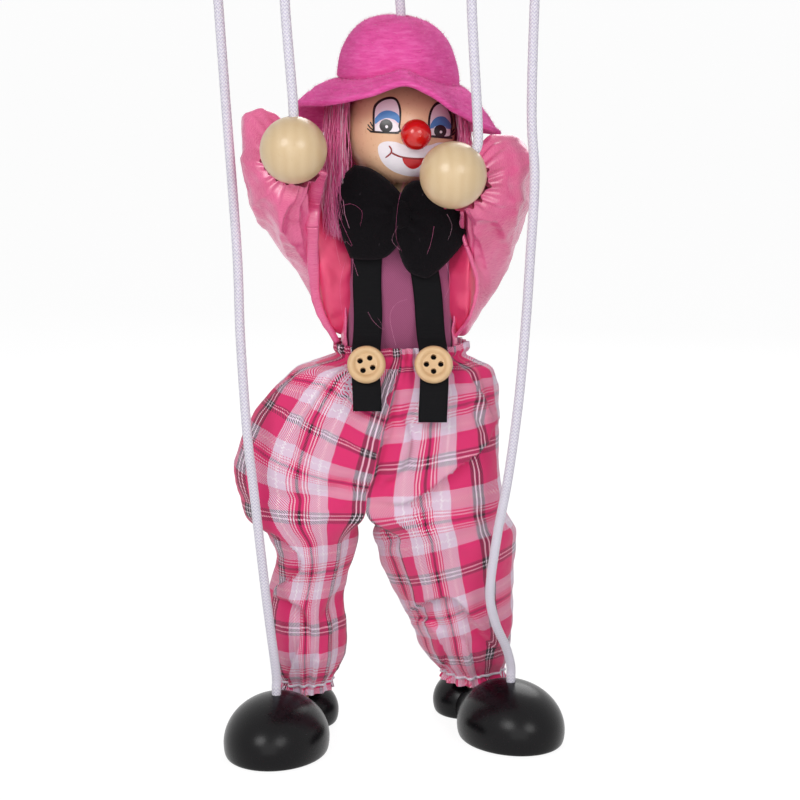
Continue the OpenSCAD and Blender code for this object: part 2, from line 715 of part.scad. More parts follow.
module hand_ball(s) {
    v = hand[s] - elbow[s];
    back = hand[s] - v / norm(v) * (hand_d / 2 - hand_socket);
    color("#eadcb4") difference() {
        translate(hand[s]) rotate([0, 0, 180]) sphere(d = hand_d, $fn = 72);
        rod(back, back - v, arm_d + 2 * running);
        translate(hand[s]) rotate([0, hand_hole_lean[s], 0])
            translate([0, 0, hand_d / 2 - cord_seat]) cylinder(d = cord_bore_d, h = hand_d);
    }
}
module sleeve(s) {
    color(satin_pink) shell(cloth_rings(sleeve_stations[s], 2, sleeve_count, 6, sleeve_folds), cloth_t);
}
module right_upper_arm() {
    upper_arm(RIGHT);
}
module right_forearm() {
    forearm(RIGHT);
}
module right_elbow_pin() {
    elbow_pin(RIGHT);
}
module right_hand() {
    hand_ball(RIGHT);
}
module right_sleeve() {
    sleeve(RIGHT);
}
module left_upper_arm() {
    upper_arm(LEFT);
}
module left_forearm() {
    forearm(LEFT);
}
module left_elbow_pin() {
    elbow_pin(LEFT);
}
module left_hand() {
    hand_ball(LEFT);
}
module left_sleeve() {
    sleeve(LEFT);
}

// Legs
foot_axis = [for (s = [RIGHT, LEFT]) [cos(splay[s]), sin(splay[s]), 0]];
module dowel_end(c, axis) {
    rod(c - axis * leg_d / 2, c + axis * leg_d / 2, eye_d);
}
// Space beside a dowel's end for the head of its pin
module pin_head_room(c, axis) {
    rod(c + axis * leg_d / 2, c + axis * leg_d, pin_head_d + 2 * gap);
}
module thigh(s) {
    color(pale_wood) difference() {
        union() {
            rod(hip[s], knee[s], leg_d);
            dowel_end(hip[s], [1, 0, 0]);
            dowel_end(knee[s], [1, 0, 0]);
        }
        lap_cut(knee[s], [1, 0, 0], sides[s], leg_d);
        for (c = [hip[s], knee[s]]) rod(c - [leg_d, 0, 0], c + [leg_d, 0, 0], bore_d);
        pin_head_room(hip[s], [sides[s], 0, 0]);
    }
}
module shin(s) {
    ankle_bend = ankle[s] + [0, 0, peg_rise];
    color(pale_wood) difference() {
        union() {
            rod(knee[s], ankle_bend, leg_d);
            rod(ankle[s], ankle_bend, peg_d);
            translate(ankle_bend) sphere(d = eye_d);
            dowel_end(knee[s], [1, 0, 0]);
            dowel_end(ankle[s], foot_axis[s]);
        }
        lap_cut(knee[s], [1, 0, 0], -sides[s], leg_d);
        rod(knee[s] - [leg_d, 0, 0], knee[s] + [leg_d, 0, 0], bore_d);
        rod(ankle[s] - foot_axis[s] * leg_d, ankle[s] + foot_axis[s] * leg_d, bore_d);
    }
}
module knee_pin(s) {
    wire_pin(knee[s], [1, 0, 0], leg_d);
}
module ankle_pin(s) {
    reach = leg_d / 2 + gap + ankle_grip;
    color(steel) rod(ankle[s] - foot_axis[s] * reach, ankle[s] + foot_axis[s] * reach, pin_d);
}
// Side outline of the turned shoe: toe ball, waist and heel ball
module shoe_outline() {
    round_steps = 12;
    toe_arc = [for (i = [0:round_steps]) let (a = 180 - 145 * i / round_steps) [toe_r * sin(a), toe_long * cos(a)]];
    heel_arc = [for (i = [0:round_steps]) let (a = 140 - 140 * i / round_steps)
        [heel_r * sin(a), toe_to_heel + heel_r * cos(a)]];
    polygon(concat(toe_arc, heel_arc));
}
module shoe(s) {
    slot_w = leg_d + 2 * gap;
    swing = 5;
    room = eye_d / 2 + gap;
    pin_reach = slot_w / 2 + ankle_grip + gap;
    color(black) difference() {
        translate([toe[s].x, toe[s].y, sole_cut])
            rotate([0, 0, splay[s]]) rotate([-90, 0, 0]) rotate_extrude($fn = 72) shoe_outline();
        translate([toe[s].x, toe[s].y, -2 * toe_long]) cube(4 * toe_long, center = true);
        translate(ankle[s]) rotate([0, 0, splay[s]]) {
            translate([-slot_w / 2, -room - swing, 0]) cube([slot_w, 2 * (room + swing), toe_r * 2]);
            rotate([0, 90, 0]) cylinder(r = room, h = slot_w, center = true);
        }
        rod(ankle[s] - foot_axis[s] * pin_reach, ankle[s] + foot_axis[s] * pin_reach, bore_d);
        translate([toe[s].x, toe[s].y, sole_cut + toe_r - cord_seat]) cylinder(d = cord_bore_d, h = toe_r);
    }
}
module trouser_leg(s) {
    color(hot_pink) shell(cloth_rings(leg_stations[s], 2, leg_count, 5, fold_depth), cloth_t);
}
module cuff_elastic(s) {
    ring = leg_stations[s][0];
    r = min(ring[1].x, ring[2].y) * (1 - 2 * fold_depth) - cloth_t - elastic_t;
    color(white) translate(ring[0] + [0, 0, elastic_t]) rotate_extrude() translate([r, 0]) circle(d = elastic_t);
}
module right_thigh() {
    thigh(RIGHT);
}
module right_knee_pin() {
    knee_pin(RIGHT);
}
module right_shin() {
    shin(RIGHT);
}
module right_ankle_pin() {
    ankle_pin(RIGHT);
}
module right_shoe() {
    shoe(RIGHT);
}
module right_trouser_leg() {
    trouser_leg(RIGHT);
}
module right_cuff_elastic() {
    cuff_elastic(RIGHT);
}
module left_thigh() {
    thigh(LEFT);
}
module left_knee_pin() {
    knee_pin(LEFT);
}
module left_shin() {
    shin(LEFT);
}
module left_ankle_pin() {
    ankle_pin(LEFT);
}
module left_shoe() {
    shoe(LEFT);
}
module left_trouser_leg() {
    trouser_leg(LEFT);
}
module left_cuff_elastic() {
    cuff_elastic(LEFT);
}

// Cords
module head_cord() {
    cord(head_route, head_spans);
}
module right_hand_cord() {
    cord(hand_route[RIGHT], hand_spans);
}
module left_hand_cord() {
    cord(hand_route[LEFT], hand_spans);
}
module right_foot_cord() {
    cord(foot_route[RIGHT], foot_spans);
}
module left_foot_cord() {
    cord(foot_route[LEFT], foot_spans);
}

placed() control_main_bar();
placed() control_hand_bar();
placed() control_leg_bar();
placed() control_screws();
placed() cord_knots();
placed() head_cord();
placed() right_hand_cord();
placed() left_hand_cord();
placed() right_foot_cord();
placed() left_foot_cord();
placed() head_ball();
placed() nose();
placed() hat_crown();
placed() hat_brim();
placed() hair();
placed() neck_pin();
placed() neck_post();
placed() torso_block();
placed() pelvis_block();
placed() waist_dowel();
placed() hip_pin();
placed() shirt();
placed() jacket();
placed() bow_right_loop();
placed() bow_left_loop();
placed() bow_knot();
placed() right_strap();
placed() left_strap();
placed() right_button();
placed() left_button();
placed() trouser_seat();
placed() waist_elastic();
placed() right_upper_arm();
placed() right_elbow_pin();
placed() right_forearm();
placed() right_hand();
placed() right_sleeve();
placed() left_upper_arm();
placed() left_elbow_pin();
placed() left_forearm();
placed() left_hand();
placed() left_sleeve();
placed() right_thigh();
placed() right_knee_pin();
placed() right_shin();
placed() right_ankle_pin();
placed() right_shoe();
placed() right_trouser_leg();
placed() right_cuff_elastic();
placed() left_thigh();
placed() left_knee_pin();
placed() left_shin();
placed() left_ankle_pin();
placed() left_shoe();
placed() left_trouser_leg();
placed() left_cuff_elastic();
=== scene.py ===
"""Looks of the clown marionette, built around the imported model.

Shapes are written in millimetres in the floor frame of the part's source: soles at z 0,
the puppet faces -Y, and left and right are its own. rows() brings them into the row frame.
"""
import math
import bmesh
import bpy
import numpy as np
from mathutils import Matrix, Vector, noise


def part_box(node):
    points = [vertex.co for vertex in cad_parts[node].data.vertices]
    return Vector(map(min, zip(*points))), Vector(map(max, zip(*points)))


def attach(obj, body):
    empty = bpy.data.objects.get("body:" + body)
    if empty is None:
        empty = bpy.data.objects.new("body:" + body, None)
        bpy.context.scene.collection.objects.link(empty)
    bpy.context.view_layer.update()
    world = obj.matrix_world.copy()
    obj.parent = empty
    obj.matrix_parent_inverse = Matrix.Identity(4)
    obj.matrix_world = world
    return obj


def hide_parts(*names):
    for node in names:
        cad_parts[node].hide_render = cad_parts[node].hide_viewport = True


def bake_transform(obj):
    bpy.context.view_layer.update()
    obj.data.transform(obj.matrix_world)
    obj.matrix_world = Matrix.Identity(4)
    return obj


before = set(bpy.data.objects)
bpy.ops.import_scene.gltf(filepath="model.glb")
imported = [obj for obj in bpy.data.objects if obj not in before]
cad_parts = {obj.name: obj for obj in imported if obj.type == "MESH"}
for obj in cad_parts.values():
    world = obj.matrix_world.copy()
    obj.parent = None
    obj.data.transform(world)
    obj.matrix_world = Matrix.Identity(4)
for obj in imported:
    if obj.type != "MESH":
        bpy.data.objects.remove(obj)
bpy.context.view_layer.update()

MM = 0.001
ORIGIN = np.array([-8.0, 50.0, 308.0])


def rows(points):
    """Floor frame in millimetres to the row frame in metres."""
    return (np.asarray(points, float) - ORIGIN) * MM


def row(point):
    return tuple(float(x) for x in rows(point))


# Camera, at the photograph's viewing angle
EYE = np.array([0.0, -700.0, 250.0])
PITCH = math.radians(10.8)
FOCAL = 2208.0
HALF_FRAME = 400.0
AHEAD = np.array([0.0, math.cos(PITCH), -math.sin(PITCH)])
UPWARD = np.array([0.0, math.sin(PITCH), math.cos(PITCH)])

camera_data = bpy.data.cameras.new("camera")
camera_data.sensor_width = 36.0
camera_data.lens = 36.0 * FOCAL / (2 * HALF_FRAME)
camera_data.clip_start = 0.01
camera = bpy.data.objects.new("camera", camera_data)
camera.location = row(EYE)
camera.rotation_euler = (math.radians(90) - PITCH, 0, 0)
bpy.context.scene.collection.objects.link(camera)
bpy.context.scene.camera = camera


def to_picture(points):
    """Floor points to picture coordinates on the 800 by 800 frame."""
    d = np.asarray(points, float) - EYE
    depth = d @ AHEAD
    return np.stack([HALF_FRAME + FOCAL * d[:, 0] / depth, HALF_FRAME - FOCAL * (d @ UPWARD) / depth], 1)


def ray(px, py):
    d = AHEAD + UPWARD * (HALF_FRAME - py) / FOCAL
    d = d + np.array([(px - HALF_FRAME) / FOCAL, 0, 0])
    return d / np.linalg.norm(d)


def at(px, py, y):
    """Floor point at depth y that the picture shows at px, py."""
    d = ray(px, py)
    return EYE + d * (y - EYE[1]) / d[1]


# Curves and meshes
def bend(points, s):
    """Smooth curve through the points at the positions s, where 1 is the second point."""
    p = np.asarray(points, float)
    s = np.clip(np.asarray(s, float), 0, len(p) - 1)
    i = np.minimum(s.astype(int), len(p) - 2)
    t = (s - i).reshape((-1,) + (1,) * (p.ndim - 1))
    a, b = p[np.maximum(i - 1, 0)], p[i]
    c, d = p[i + 1], p[np.minimum(i + 2, len(p) - 1)]
    return 0.5 * (2 * b + t * (c - a) + t * t * (2 * a - 5 * b + 4 * c - d)
                  + t ** 3 * (3 * b - 3 * c + d - a))


def run_along(points):
    """Distance along a line of points, 0 at its first."""
    return np.concatenate([[0], np.cumsum(np.linalg.norm(np.diff(points, axis=0), axis=1))])


def unit(v):
    """Vectors brought to length 1 along the last axis."""
    return v / (np.linalg.norm(v, axis=-1, keepdims=True) + 1e-9)


def circle(n):
    """Angles of n places round a circle."""
    return 2 * np.pi * np.arange(n) / n


def spokes(a, b, angle):
    """Rows of points round the origin, on each row's half axes a and b."""
    return np.cos(angle)[None, :, None] * a[:, None] + np.sin(angle)[None, :, None] * b[:, None]


def flat_map(u, v):
    """Flat coordinates of a grid whose columns lie at u and whose rows lie at v."""
    return np.stack(np.meshgrid(u, v), -1).reshape(-1, 2)


def even(points, step):
    """Points along a smooth curve at even distances of about step."""
    fine = bend(points, np.linspace(0, len(points) - 1, 60 * len(points)))
    run = run_along(fine)
    want = np.linspace(0, run[-1], max(2, int(round(run[-1] / step)) + 1))
    return np.stack([np.interp(want, run, fine[:, k]) for k in range(3)], 1)


def smooth_step(x, low, high):
    t = np.clip((np.asarray(x, float) - low) / (high - low), 0, 1)
    return t * t * (3 - 2 * t)


def grid_faces(n, m, closed, start=0):
    """Faces of n rows of m points."""
    last = m if closed else m - 1
    faces = []
    for low in range(start, start + (n - 1) * m, m):
        high = low + m
        faces += [(low + j, low + (j + 1) % m, high + (j + 1) % m, high + j) for j in range(last)]
    return faces


def piece(name, points, faces, materials, uv=None, which=None, outward=True, values=None):
    """A mesh object in the row frame. uv is per point or per corner, which gives each face's material."""
    mesh = bpy.data.meshes.new(name)
    mesh.from_pydata([tuple(p) for p in rows(points)], [], [tuple(int(i) for i in f) for f in faces])
    for m in materials if isinstance(materials, (list, tuple)) else [materials]:
        mesh.materials.append(m)
    if which is not None:
        mesh.polygons.foreach_set("material_index", np.asarray(which, np.int32))
    mesh.polygons.foreach_set("use_smooth", [True] * len(mesh.polygons))
    if uv is not None:
        uv = np.asarray(uv, np.float32)
        layer = mesh.uv_layers.new(name="UVMap")
        corner = np.zeros(len(mesh.loops), np.int32)
        mesh.loops.foreach_get("vertex_index", corner)
        by_corner = len(uv) == len(corner) and len(uv) != len(points)
        layer.data.foreach_set("uv", (uv if by_corner else uv[corner]).ravel())
    if values is not None:
        layer = mesh.attributes.new("shade", "FLOAT", "POINT")
        layer.data.foreach_set("value", np.asarray(values, np.float32))
    obj = bpy.data.objects.new(name, mesh)
    bpy.context.scene.collection.objects.link(obj)
    if outward:
        face_outward(obj)
    return obj


def face_outward(obj, weld=0.0):
    """Turns the faces outward, after joining points within weld millimetres of each other."""
    work = bmesh.new()
    work.from_mesh(obj.data)
    if weld:
        bmesh.ops.remove_doubles(work, verts=work.verts, dist=weld * MM)
    bmesh.ops.recalc_face_normals(work, faces=work.faces)
    work.to_mesh(obj.data)
    work.free()


def wall(obj, thickness):
    """Gives a sheet its thickness in millimetres, inwards."""
    solid = obj.modifiers.new("thickness", "SOLIDIFY")
    solid.thickness = thickness * MM
    solid.offset = -1.0
    return obj


def normals_along(points):
    """Two normals carried along a line without twist."""
    t = unit(np.gradient(points, axis=0))
    side = np.cross(t[0], [0, 1, 0])
    if np.linalg.norm(side) < 0.1:
        side = np.cross(t[0], [1, 0, 0])
    out = []
    for tangent in t:
        side = unit(side - tangent * (side @ tangent))
        out.append(side)
    return np.array(out), np.cross(t, out)


def tube_points(points, radius, sides, relief=None):
    """Rings round a line and their flat coordinates. relief(angle, run) swells the radius."""
    p = np.asarray(points, float)
    run, angle = run_along(p), circle(sides)
    r = np.full((len(p), sides), float(radius))
    if relief is not None:
        r = r * (1 + relief(angle[None, :], run[:, None]))
    rings = p[:, None] + r[..., None] * spokes(*normals_along(p), angle)
    return rings.reshape(-1, 3), flat_map(angle / (2 * np.pi), run)


def tube_faces(n, sides, start=0):
    faces = grid_faces(n, sides, True, start)
    faces.append(tuple(start + i for i in range(sides))[::-1])
    faces.append(tuple(start + (n - 1) * sides + i for i in range(sides)))
    return faces


def loop_tube(points, half_wide, half_high, sides):
    """Rings round a closed, roughly level loop, their faces and their flat coordinates."""
    p = np.asarray(points, float)
    t = unit(np.roll(p, -1, 0) - np.roll(p, 1, 0))
    side = unit(np.cross(t, [0, 0, 1.0]))
    angle = circle(sides)
    rings = p[:, None] + spokes(half_wide * side, half_high * np.cross(side, t), angle)
    count = len(p) * sides
    faces = [tuple(i % count for i in f) for f in grid_faces(len(p) + 1, sides, True)]
    return rings.reshape(-1, 3), faces, flat_map(angle / (2 * np.pi), run_along(p))


SHARP = math.radians(42)
ROD_SIDES = 48


def carve(obj, cutters):
    """Cuts closed meshes out of a piece, and keeps its edges crisp."""
    for cutter in cutters:
        cut = obj.modifiers.new("cut", "BOOLEAN")
        cut.operation = "DIFFERENCE"
        cut.solver = "EXACT"
        cut.object = cutter
    bpy.context.view_layer.update()
    mesh = bpy.data.meshes.new_from_object(obj.evaluated_get(bpy.context.evaluated_depsgraph_get()))
    obj.modifiers.clear()
    obj.data = mesh
    for cutter in cutters:
        bpy.data.objects.remove(cutter)
    mesh.set_sharp_from_angle(angle=SHARP)


def rod_between(name, a, b, radius, material):
    points, _ = tube_points([a, b], radius, ROD_SIDES)
    return piece(name, points, tube_faces(2, ROD_SIDES), material)


class Rng:
    """Seeded numbers, the same on each run."""

    def __init__(self, seed):
        self.r = np.random.RandomState(seed)

    def span(self, low, high, n=None):
        return self.r.uniform(low, high, n)

    def bell(self, spread, n=None):
        return self.r.normal(0, spread, n)


# Materials
def srgb(r, g, b):
    out = []
    for c in (r, g, b):
        c = c / 255
        out.append(c / 12.92 if c <= 0.04045 else ((c + 0.055) / 1.055) ** 2.4)
    return (*out, 1.0)


class Paint:
    """A procedural material, with short names for the nodes used here."""

    def __init__(self, name, rough, **sockets):
        self.m = bpy.data.materials.new(name)
        self.m.use_nodes = True
        self.tree = self.m.node_tree
        self.shader = self.tree.nodes["Principled BSDF"]
        self.shader.inputs["Roughness"].default_value = rough
        for key, value in sockets.items():
            self.shader.inputs[key.replace("_", " ")].default_value = value
        self.where = None

    def put(self, socket, value):
        if isinstance(value, bpy.types.NodeSocket):
            self.tree.links.new(value, socket)
        else:
            socket.default_value = value

    def node(self, kind, inputs=(), **props):
        n = self.tree.nodes.new(kind)
        for key, value in props.items():
            setattr(n, key, value)
        for key, value in dict(inputs).items():
            self.put(n.inputs[key], value)
        return n

    def coord(self, kind="Object"):
        return self.node("ShaderNodeTexCoord").outputs[kind]

    def scaled(self, vector, scale):
        return self.node("ShaderNodeMapping", {"Vector": vector, "Scale": scale}).outputs[0]

    def math(self, op, a, b=0.0, c=0.0):
        n = self.node("ShaderNodeMath", operation=op)
        for socket, value in zip(n.inputs, (a, b, c)):
            self.put(socket, value)
        return n.outputs[0]

    def split(self, vector):
        n = self.node("ShaderNodeSeparateXYZ", {"Vector": vector})
        return n.outputs

    def mix(self, share, a, b, how="MIX"):
        n = self.node("ShaderNodeMix", data_type="RGBA", blend_type=how)
        self.put(n.inputs[0], share)
        self.put(n.inputs[6], a)
        self.put(n.inputs[7], b)
        return n.outputs[2]

    def ramp(self, share, stops, sharp=False):
        n = self.node("ShaderNodeValToRGB", {"Fac": share})
        r = n.color_ramp
        r.interpolation = "CONSTANT" if sharp else "LINEAR"
        while len(r.elements) < len(stops):
            r.elements.new(0.5)
        for e, (place, colour) in zip(r.elements, sorted(stops, key=lambda s: s[0])):
            e.position = place
            e.color = colour
        return n.outputs[0]

    def noise(self, vector, scale, detail=3.0, rough=0.5):
        n = self.node("ShaderNodeTexNoise", {"Vector": vector, "Scale": scale, "Detail": detail,
                                             "Roughness": rough})
        return n.outputs[0]

    def colour(self, value):
        self.put(self.shader.inputs["Base Color"], value)
        return self

    def rough(self, value):
        self.put(self.shader.inputs["Roughness"], value)
        return self

    def bump(self, height, strength, distance):
        n = self.node("ShaderNodeBump", {"Height": height, "Strength": strength, "Distance": distance})
        self.put(self.shader.inputs["Normal"], n.outputs[0])
        return self


def between(paint, value, low, high):
    return paint.math("MULTIPLY_ADD", value, high - low, low)


def wood(name, light, dark, rough, coat, ring_scale, axis_scale):
    """Turned or sawn wood: drawn-out rings, pores and fine mottling."""
    w = Paint(name, rough, Coat_Weight=coat, Coat_Roughness=0.12)
    place = w.scaled(w.coord(), axis_scale)
    warp = w.noise(place, 60.0, 2.0)
    rings = w.node("ShaderNodeTexWave", {"Vector": place, "Scale": ring_scale, "Distortion": 3.5,
                                         "Detail": 2.0,
                                         "Detail Scale": 1.6}, wave_type="BANDS",
                   bands_direction="X").outputs[1]
    pores = w.noise(w.scaled(w.coord(), tuple(4 * a for a in axis_scale)), 900.0, 2.0)
    tone = w.mix(w.math("MULTIPLY", rings, 0.22), light, dark)
    tone = w.mix(w.math("MULTIPLY", warp, 0.3), tone, dark)
    tone = w.mix(w.math("MULTIPLY", w.math("GREATER_THAN", pores, 0.66), 0.25), tone, dark)
    w.colour(tone)
    w.bump(w.math("ADD", w.math("MULTIPLY", rings, 0.6), pores), 0.12, 0.0004)
    return w.m


def cord_paint():
    """Fine braid: columns of slanting strands, as on a knitted cord, with painted shade in the grooves
    between the strands.
    """
    c = Paint("white_cord", 0.8, Sheen_Weight=0.3, Sheen_Roughness=0.5)
    place = c.coord("UV")
    u, v = c.split(place)[:2]
    column = c.math("PINGPONG", c.math("MULTIPLY", u, 8.0), 0.5)
    strand = c.math("PINGPONG", c.math("MULTIPLY_ADD", column, 1.5, c.math("DIVIDE", v, 1.15)), 0.5)
    fibre = c.noise(c.scaled(place, (40.0, 2.0, 1.0)), 3.0, 3.0)
    # Painted shade: the colour darkens to lilac grey in the grooves between the strands, where the braid
    # falls into shade
    tone = c.ramp(strand, [(0.0, srgb(196, 188, 212)), (0.2, srgb(230, 225, 239)),
                           (0.5, srgb(249, 247, 251))])
    c.colour(c.mix(c.math("MULTIPLY", fibre, 0.2), tone, srgb(216, 208, 228)))
    c.bump(c.math("ADD", strand, c.math("MULTIPLY", fibre, 0.3)), 0.7, 0.0004)
    return c.m


white_cord = cord_paint()

# Cords: their routes are those of the part's source
CORD_D = 3.0
TOP = 305.0
HEAD_ROUTE = [(0, 0, 217), (0, 0, 230), (0, 0, 243), (-4, 1, 268), (-8, 2, 290), (-8, 2, 311)]
HAND_ROUTES = {
    "right": [(-32, -35, 205.7), (-32, -35, 214), (-34, -34, 240), (-35.5, -33, 270), (-36, -32, 290),
              (-36, -32, TOP)],
    "left": [(21.2, -35, 198.2), (23.2, -35, 200.8), (23.2, -35, 209), (21.4, -34, 240), (20.5, -33, 270),
             (20, -32, 290), (20, -32, TOP)],
}
FOOT_ROUTES = {
    "right": [(-40.5, -7.5, 18), (-40.5, -7.5, 22), (-40.6, -7.8, 28), (-43, -14, 54), (-46, -19, 88),
              (-48, -21, 110), (-50, -17, 140), (-51, -13, 167), (-54, -11, 213), (-57, -10, 260),
              (-59, -10, 282), (-59, -10, 294), (-59, -10, TOP)],
    "left": [(37, 6, 18), (37, 6, 22), (36.8, 5.6, 26), (35, 2, 33), (31, -6, 44), (29, -12, 56),
             (31, -17, 76), (34, -21, 95), (37, -23, 120), (39, -23, 145), (40, -25, 165), (41, -27, 190),
             (40, -25, 210), (41, -18, 245), (43, -10, 282), (43, -10, 294), (43, -10, TOP)],
}
# Heights at which a cord is parted, each with the two bodies that the stretch ending there runs between
HEAD_CUTS = [(280, "control", "trunk"), (249, "trunk", "neck"), (0, "neck", "head")]
HAND_CUTS = [(272, "control", "trunk"), (240, "trunk", "{}_upper_arm"), (0, "{}_upper_arm", "{}_forearm")]
FOOT_CUTS = [(272, "control", "trunk"), (96, "trunk", "{}_thigh"), (58, "{}_thigh", "{}_shin"),
             (0, "{}_shin", "{}_foot")]


def braid(angle, run):
    """Slight swell of the strands."""
    return 0.02 * np.cos(8 * angle) * np.cos(2 * np.pi * run / 2.3)


CORD_SIDES = 20
CORD_STEP = 0.5


def string_up(name, route, cuts, node):
    """One cord in stretches, from the control down, that meet at the same rings."""
    line = even(route, CORD_STEP)[::-1]
    rings, uv = tube_points(line, CORD_D / 2, CORD_SIDES, braid)
    seam = np.stack([np.ones(len(line)), uv[::CORD_SIDES, 1]], 1)
    first = 0
    for k, (low, a, b) in enumerate(cuts):
        last = len(line) - 1 if low == 0 else int(np.argmin(np.abs(line[:, 2] - low)))
        n = last - first + 1
        part = slice(first * CORD_SIDES, (last + 1) * CORD_SIDES)
        faces = grid_faces(n, CORD_SIDES, True)
        corners = []
        for f in faces:
            wrap = (f[0] + 1) % CORD_SIDES == 0
            for i in f:
                edge = wrap and i % CORD_SIDES == 0
                corners.append(seam[first + i // CORD_SIDES] if edge else uv[part][i])
        top, foot = tube_faces(n, CORD_SIDES)[-2:]
        for cap in [top] * (k == 0) + [foot] * (low == 0):
            faces.append(cap)
            corners += [(0.5, 0.0)] * CORD_SIDES
        obj = piece(f"{name}_{k + 1}", rings[part], faces, white_cord, corners, outward=False)
        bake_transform(obj)
        first = last
    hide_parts(node)


string_up("head_string", HEAD_ROUTE, HEAD_CUTS, "head_cord")
for side in ("right", "left"):
    string_up(f"{side}_hand_string", HAND_ROUTES[side], HAND_CUTS, f"{side}_hand_cord")
    string_up(f"{side}_foot_string", FOOT_ROUTES[side], FOOT_CUTS, f"{side}_foot_cord")


# Finishes
def satin_paint(name, main, deep, pale, rough):
    """Woven satin: fine yarns along the cloth, soft blotches and a pale sheen."""
    s = Paint(name, rough, Sheen_Weight=0.45, Sheen_Roughness=0.35, Specular_IOR_Level=0.95)
    s.shader.inputs["Sheen Tint"].default_value = pale
    place = s.coord("UV")
    yarn = s.noise(s.scaled(place, (0.5, 12.0, 1.0)), 1.0, 3.0)
    soft = s.noise(place, 0.09, 3.0)
    tone = s.mix(s.ramp(soft, [(0.3, (0, 0, 0, 1)), (0.7, (1, 1, 1, 1))]), deep, main)
    s.colour(s.mix(s.math("MULTIPLY", yarn, 0.14), tone, pale))
    s.rough(between(s, yarn, rough - 0.07, rough + 0.1))
    s.bump(yarn, 0.08, 0.0003)
    return s.m


def plaid_paint():
    """Twill checks of 38 mm: warp and weft carry the same mirrored stripes."""
    p = Paint("plaid_cloth", 0.78, Sheen_Weight=0.25, Sheen_Roughness=0.5)
    black, white = srgb(18, 10, 20), srgb(246, 228, 240)
    pink, pale = srgb(228, 38, 110), srgb(232, 208, 228)
    half = 19.0
    stripes = [(0, black), (0.5, white), (0.95, black), (2.1, pink), (9.6, pale), (15.6, pink), (16.1, white),
               (16.5, pink),
               (17.1, white), (17.5, pink), (18.5, black)]
    place = p.coord("UV")
    u, v = p.split(place)[:2]
    wobble = p.math("MULTIPLY", p.math("SUBTRACT", p.noise(place, 0.16, 2.0), 0.5), 0.5)

    def stripe(along, across):
        fold = p.math("PINGPONG", p.math("ADD", along, wobble), half)
        base = p.ramp(p.math("DIVIDE", fold, half), [(spot / half, colour) for spot, colour in stripes],
                      sharp=True)
        zigzag = p.math("ADD", p.math("PINGPONG", across, 0.7), 12.2)
        near = p.math("LESS_THAN", p.math("ABSOLUTE", p.math("SUBTRACT", fold, zigzag)), 0.3)
        return p.mix(near, base, srgb(250, 244, 250))

    warp, weft = stripe(u, v), stripe(v, u)
    twill = p.math("FRACT", p.math("DIVIDE", p.math("ADD", u, v), 0.8))
    tone = p.mix(p.math("GREATER_THAN", twill, 0.6), warp, weft)
    fibre = p.noise(p.scaled(place, (3.0, 3.0, 1.0)), 2.0, 3.0)
    p.colour(p.mix(p.math("MULTIPLY", fibre, 0.14), tone, srgb(150, 40, 92)))
    p.bump(p.math("ADD", p.math("PINGPONG", twill, 0.5), fibre), 0.35, 0.0003)
    return p.m


def fleece_paint():
    f = Paint("pink_fleece", 0.95, Sheen_Weight=0.8, Sheen_Roughness=0.45)
    f.shader.inputs["Sheen Tint"].default_value = srgb(250, 130, 200)
    place = f.coord()
    nap = f.noise(f.scaled(place, (260.0, 260.0, 1300.0)), 1.0, 4.0, 0.6)
    tuft = f.noise(place, 420.0, 4.0, 0.6)
    tone = f.ramp(nap, [(0.3, srgb(214, 58, 140)), (0.5, srgb(232, 82, 164)), (0.72, srgb(242, 116, 186))])
    f.colour(f.mix(f.math("MULTIPLY", tuft, 0.4), tone, srgb(236, 92, 172)))
    f.bump(f.math("ADD", nap, tuft), 0.45, 0.0009)
    return f.m


def lacquer(name, main, edge, rough, coat, gloss):
    """Sprayed gloss paint with a slight orange peel and dust."""
    g = Paint(name, rough, Coat_Weight=coat, Coat_Roughness=0.12, Specular_IOR_Level=gloss)
    place = g.coord()
    peel = g.noise(place, 700.0, 2.0)
    dust = g.noise(place, 120.0, 5.0, 0.7)
    g.colour(g.mix(g.math("MULTIPLY", dust, 0.3), main, edge))
    g.rough(between(g, dust, rough - 0.05, rough + 0.12))
    g.bump(peel, 0.05, 0.0003)
    return g.m


def painted_wood():
    f = Paint("face_paint_wood", 0.34, Coat_Weight=0.25, Coat_Roughness=0.2)
    place = f.coord()
    blotch = f.noise(place, 70.0, 4.0)
    fleck = f.noise(place, 900.0, 3.0)
    tone = f.mix(f.math("MULTIPLY", blotch, 0.6), srgb(240, 200, 164), srgb(226, 172, 132))
    f.colour(f.mix(f.math("MULTIPLY", f.math("GREATER_THAN", fleck, 0.64), 0.3), tone, srgb(206, 150, 110)))
    f.bump(fleck, 0.08, 0.0003)
    return f.m


def felt_paint():
    f = Paint("black_felt", 1.0, Sheen_Weight=0.18, Sheen_Roughness=0.5, Specular_IOR_Level=0.1)
    f.shader.inputs["Sheen Tint"].default_value = srgb(120, 112, 120)
    place = f.coord()
    fibre = f.noise(place, 800.0, 5.0, 0.65)
    lint = f.noise(f.scaled(place, (500.0, 500.0, 140.0)), 2.0, 3.0)
    tone = f.mix(f.math("MULTIPLY", fibre, 0.6), srgb(11, 10, 12), srgb(28, 25, 29))
    f.colour(f.mix(f.math("MULTIPLY", f.math("GREATER_THAN", lint, 0.74), 0.2), tone, srgb(96, 84, 94)))
    f.bump(fibre, 0.7, 0.0008)
    return f.m


def ribbon_paint():
    r = Paint("black_ribbon", 0.5, Specular_IOR_Level=0.08)
    place = r.coord("UV")
    rib = r.math("PINGPONG", r.split(place)[1], 0.22)
    fray = r.noise(r.scaled(place, (4.0, 1.0, 1.0)), 2.0, 3.0)
    r.colour(r.mix(r.math("MULTIPLY", fray, 0.5), srgb(8, 8, 10), srgb(22, 21, 25)))
    r.bump(r.math("ADD", r.math("MULTIPLY", rib, 3.0), fray), 0.4, 0.0003)
    return r.m


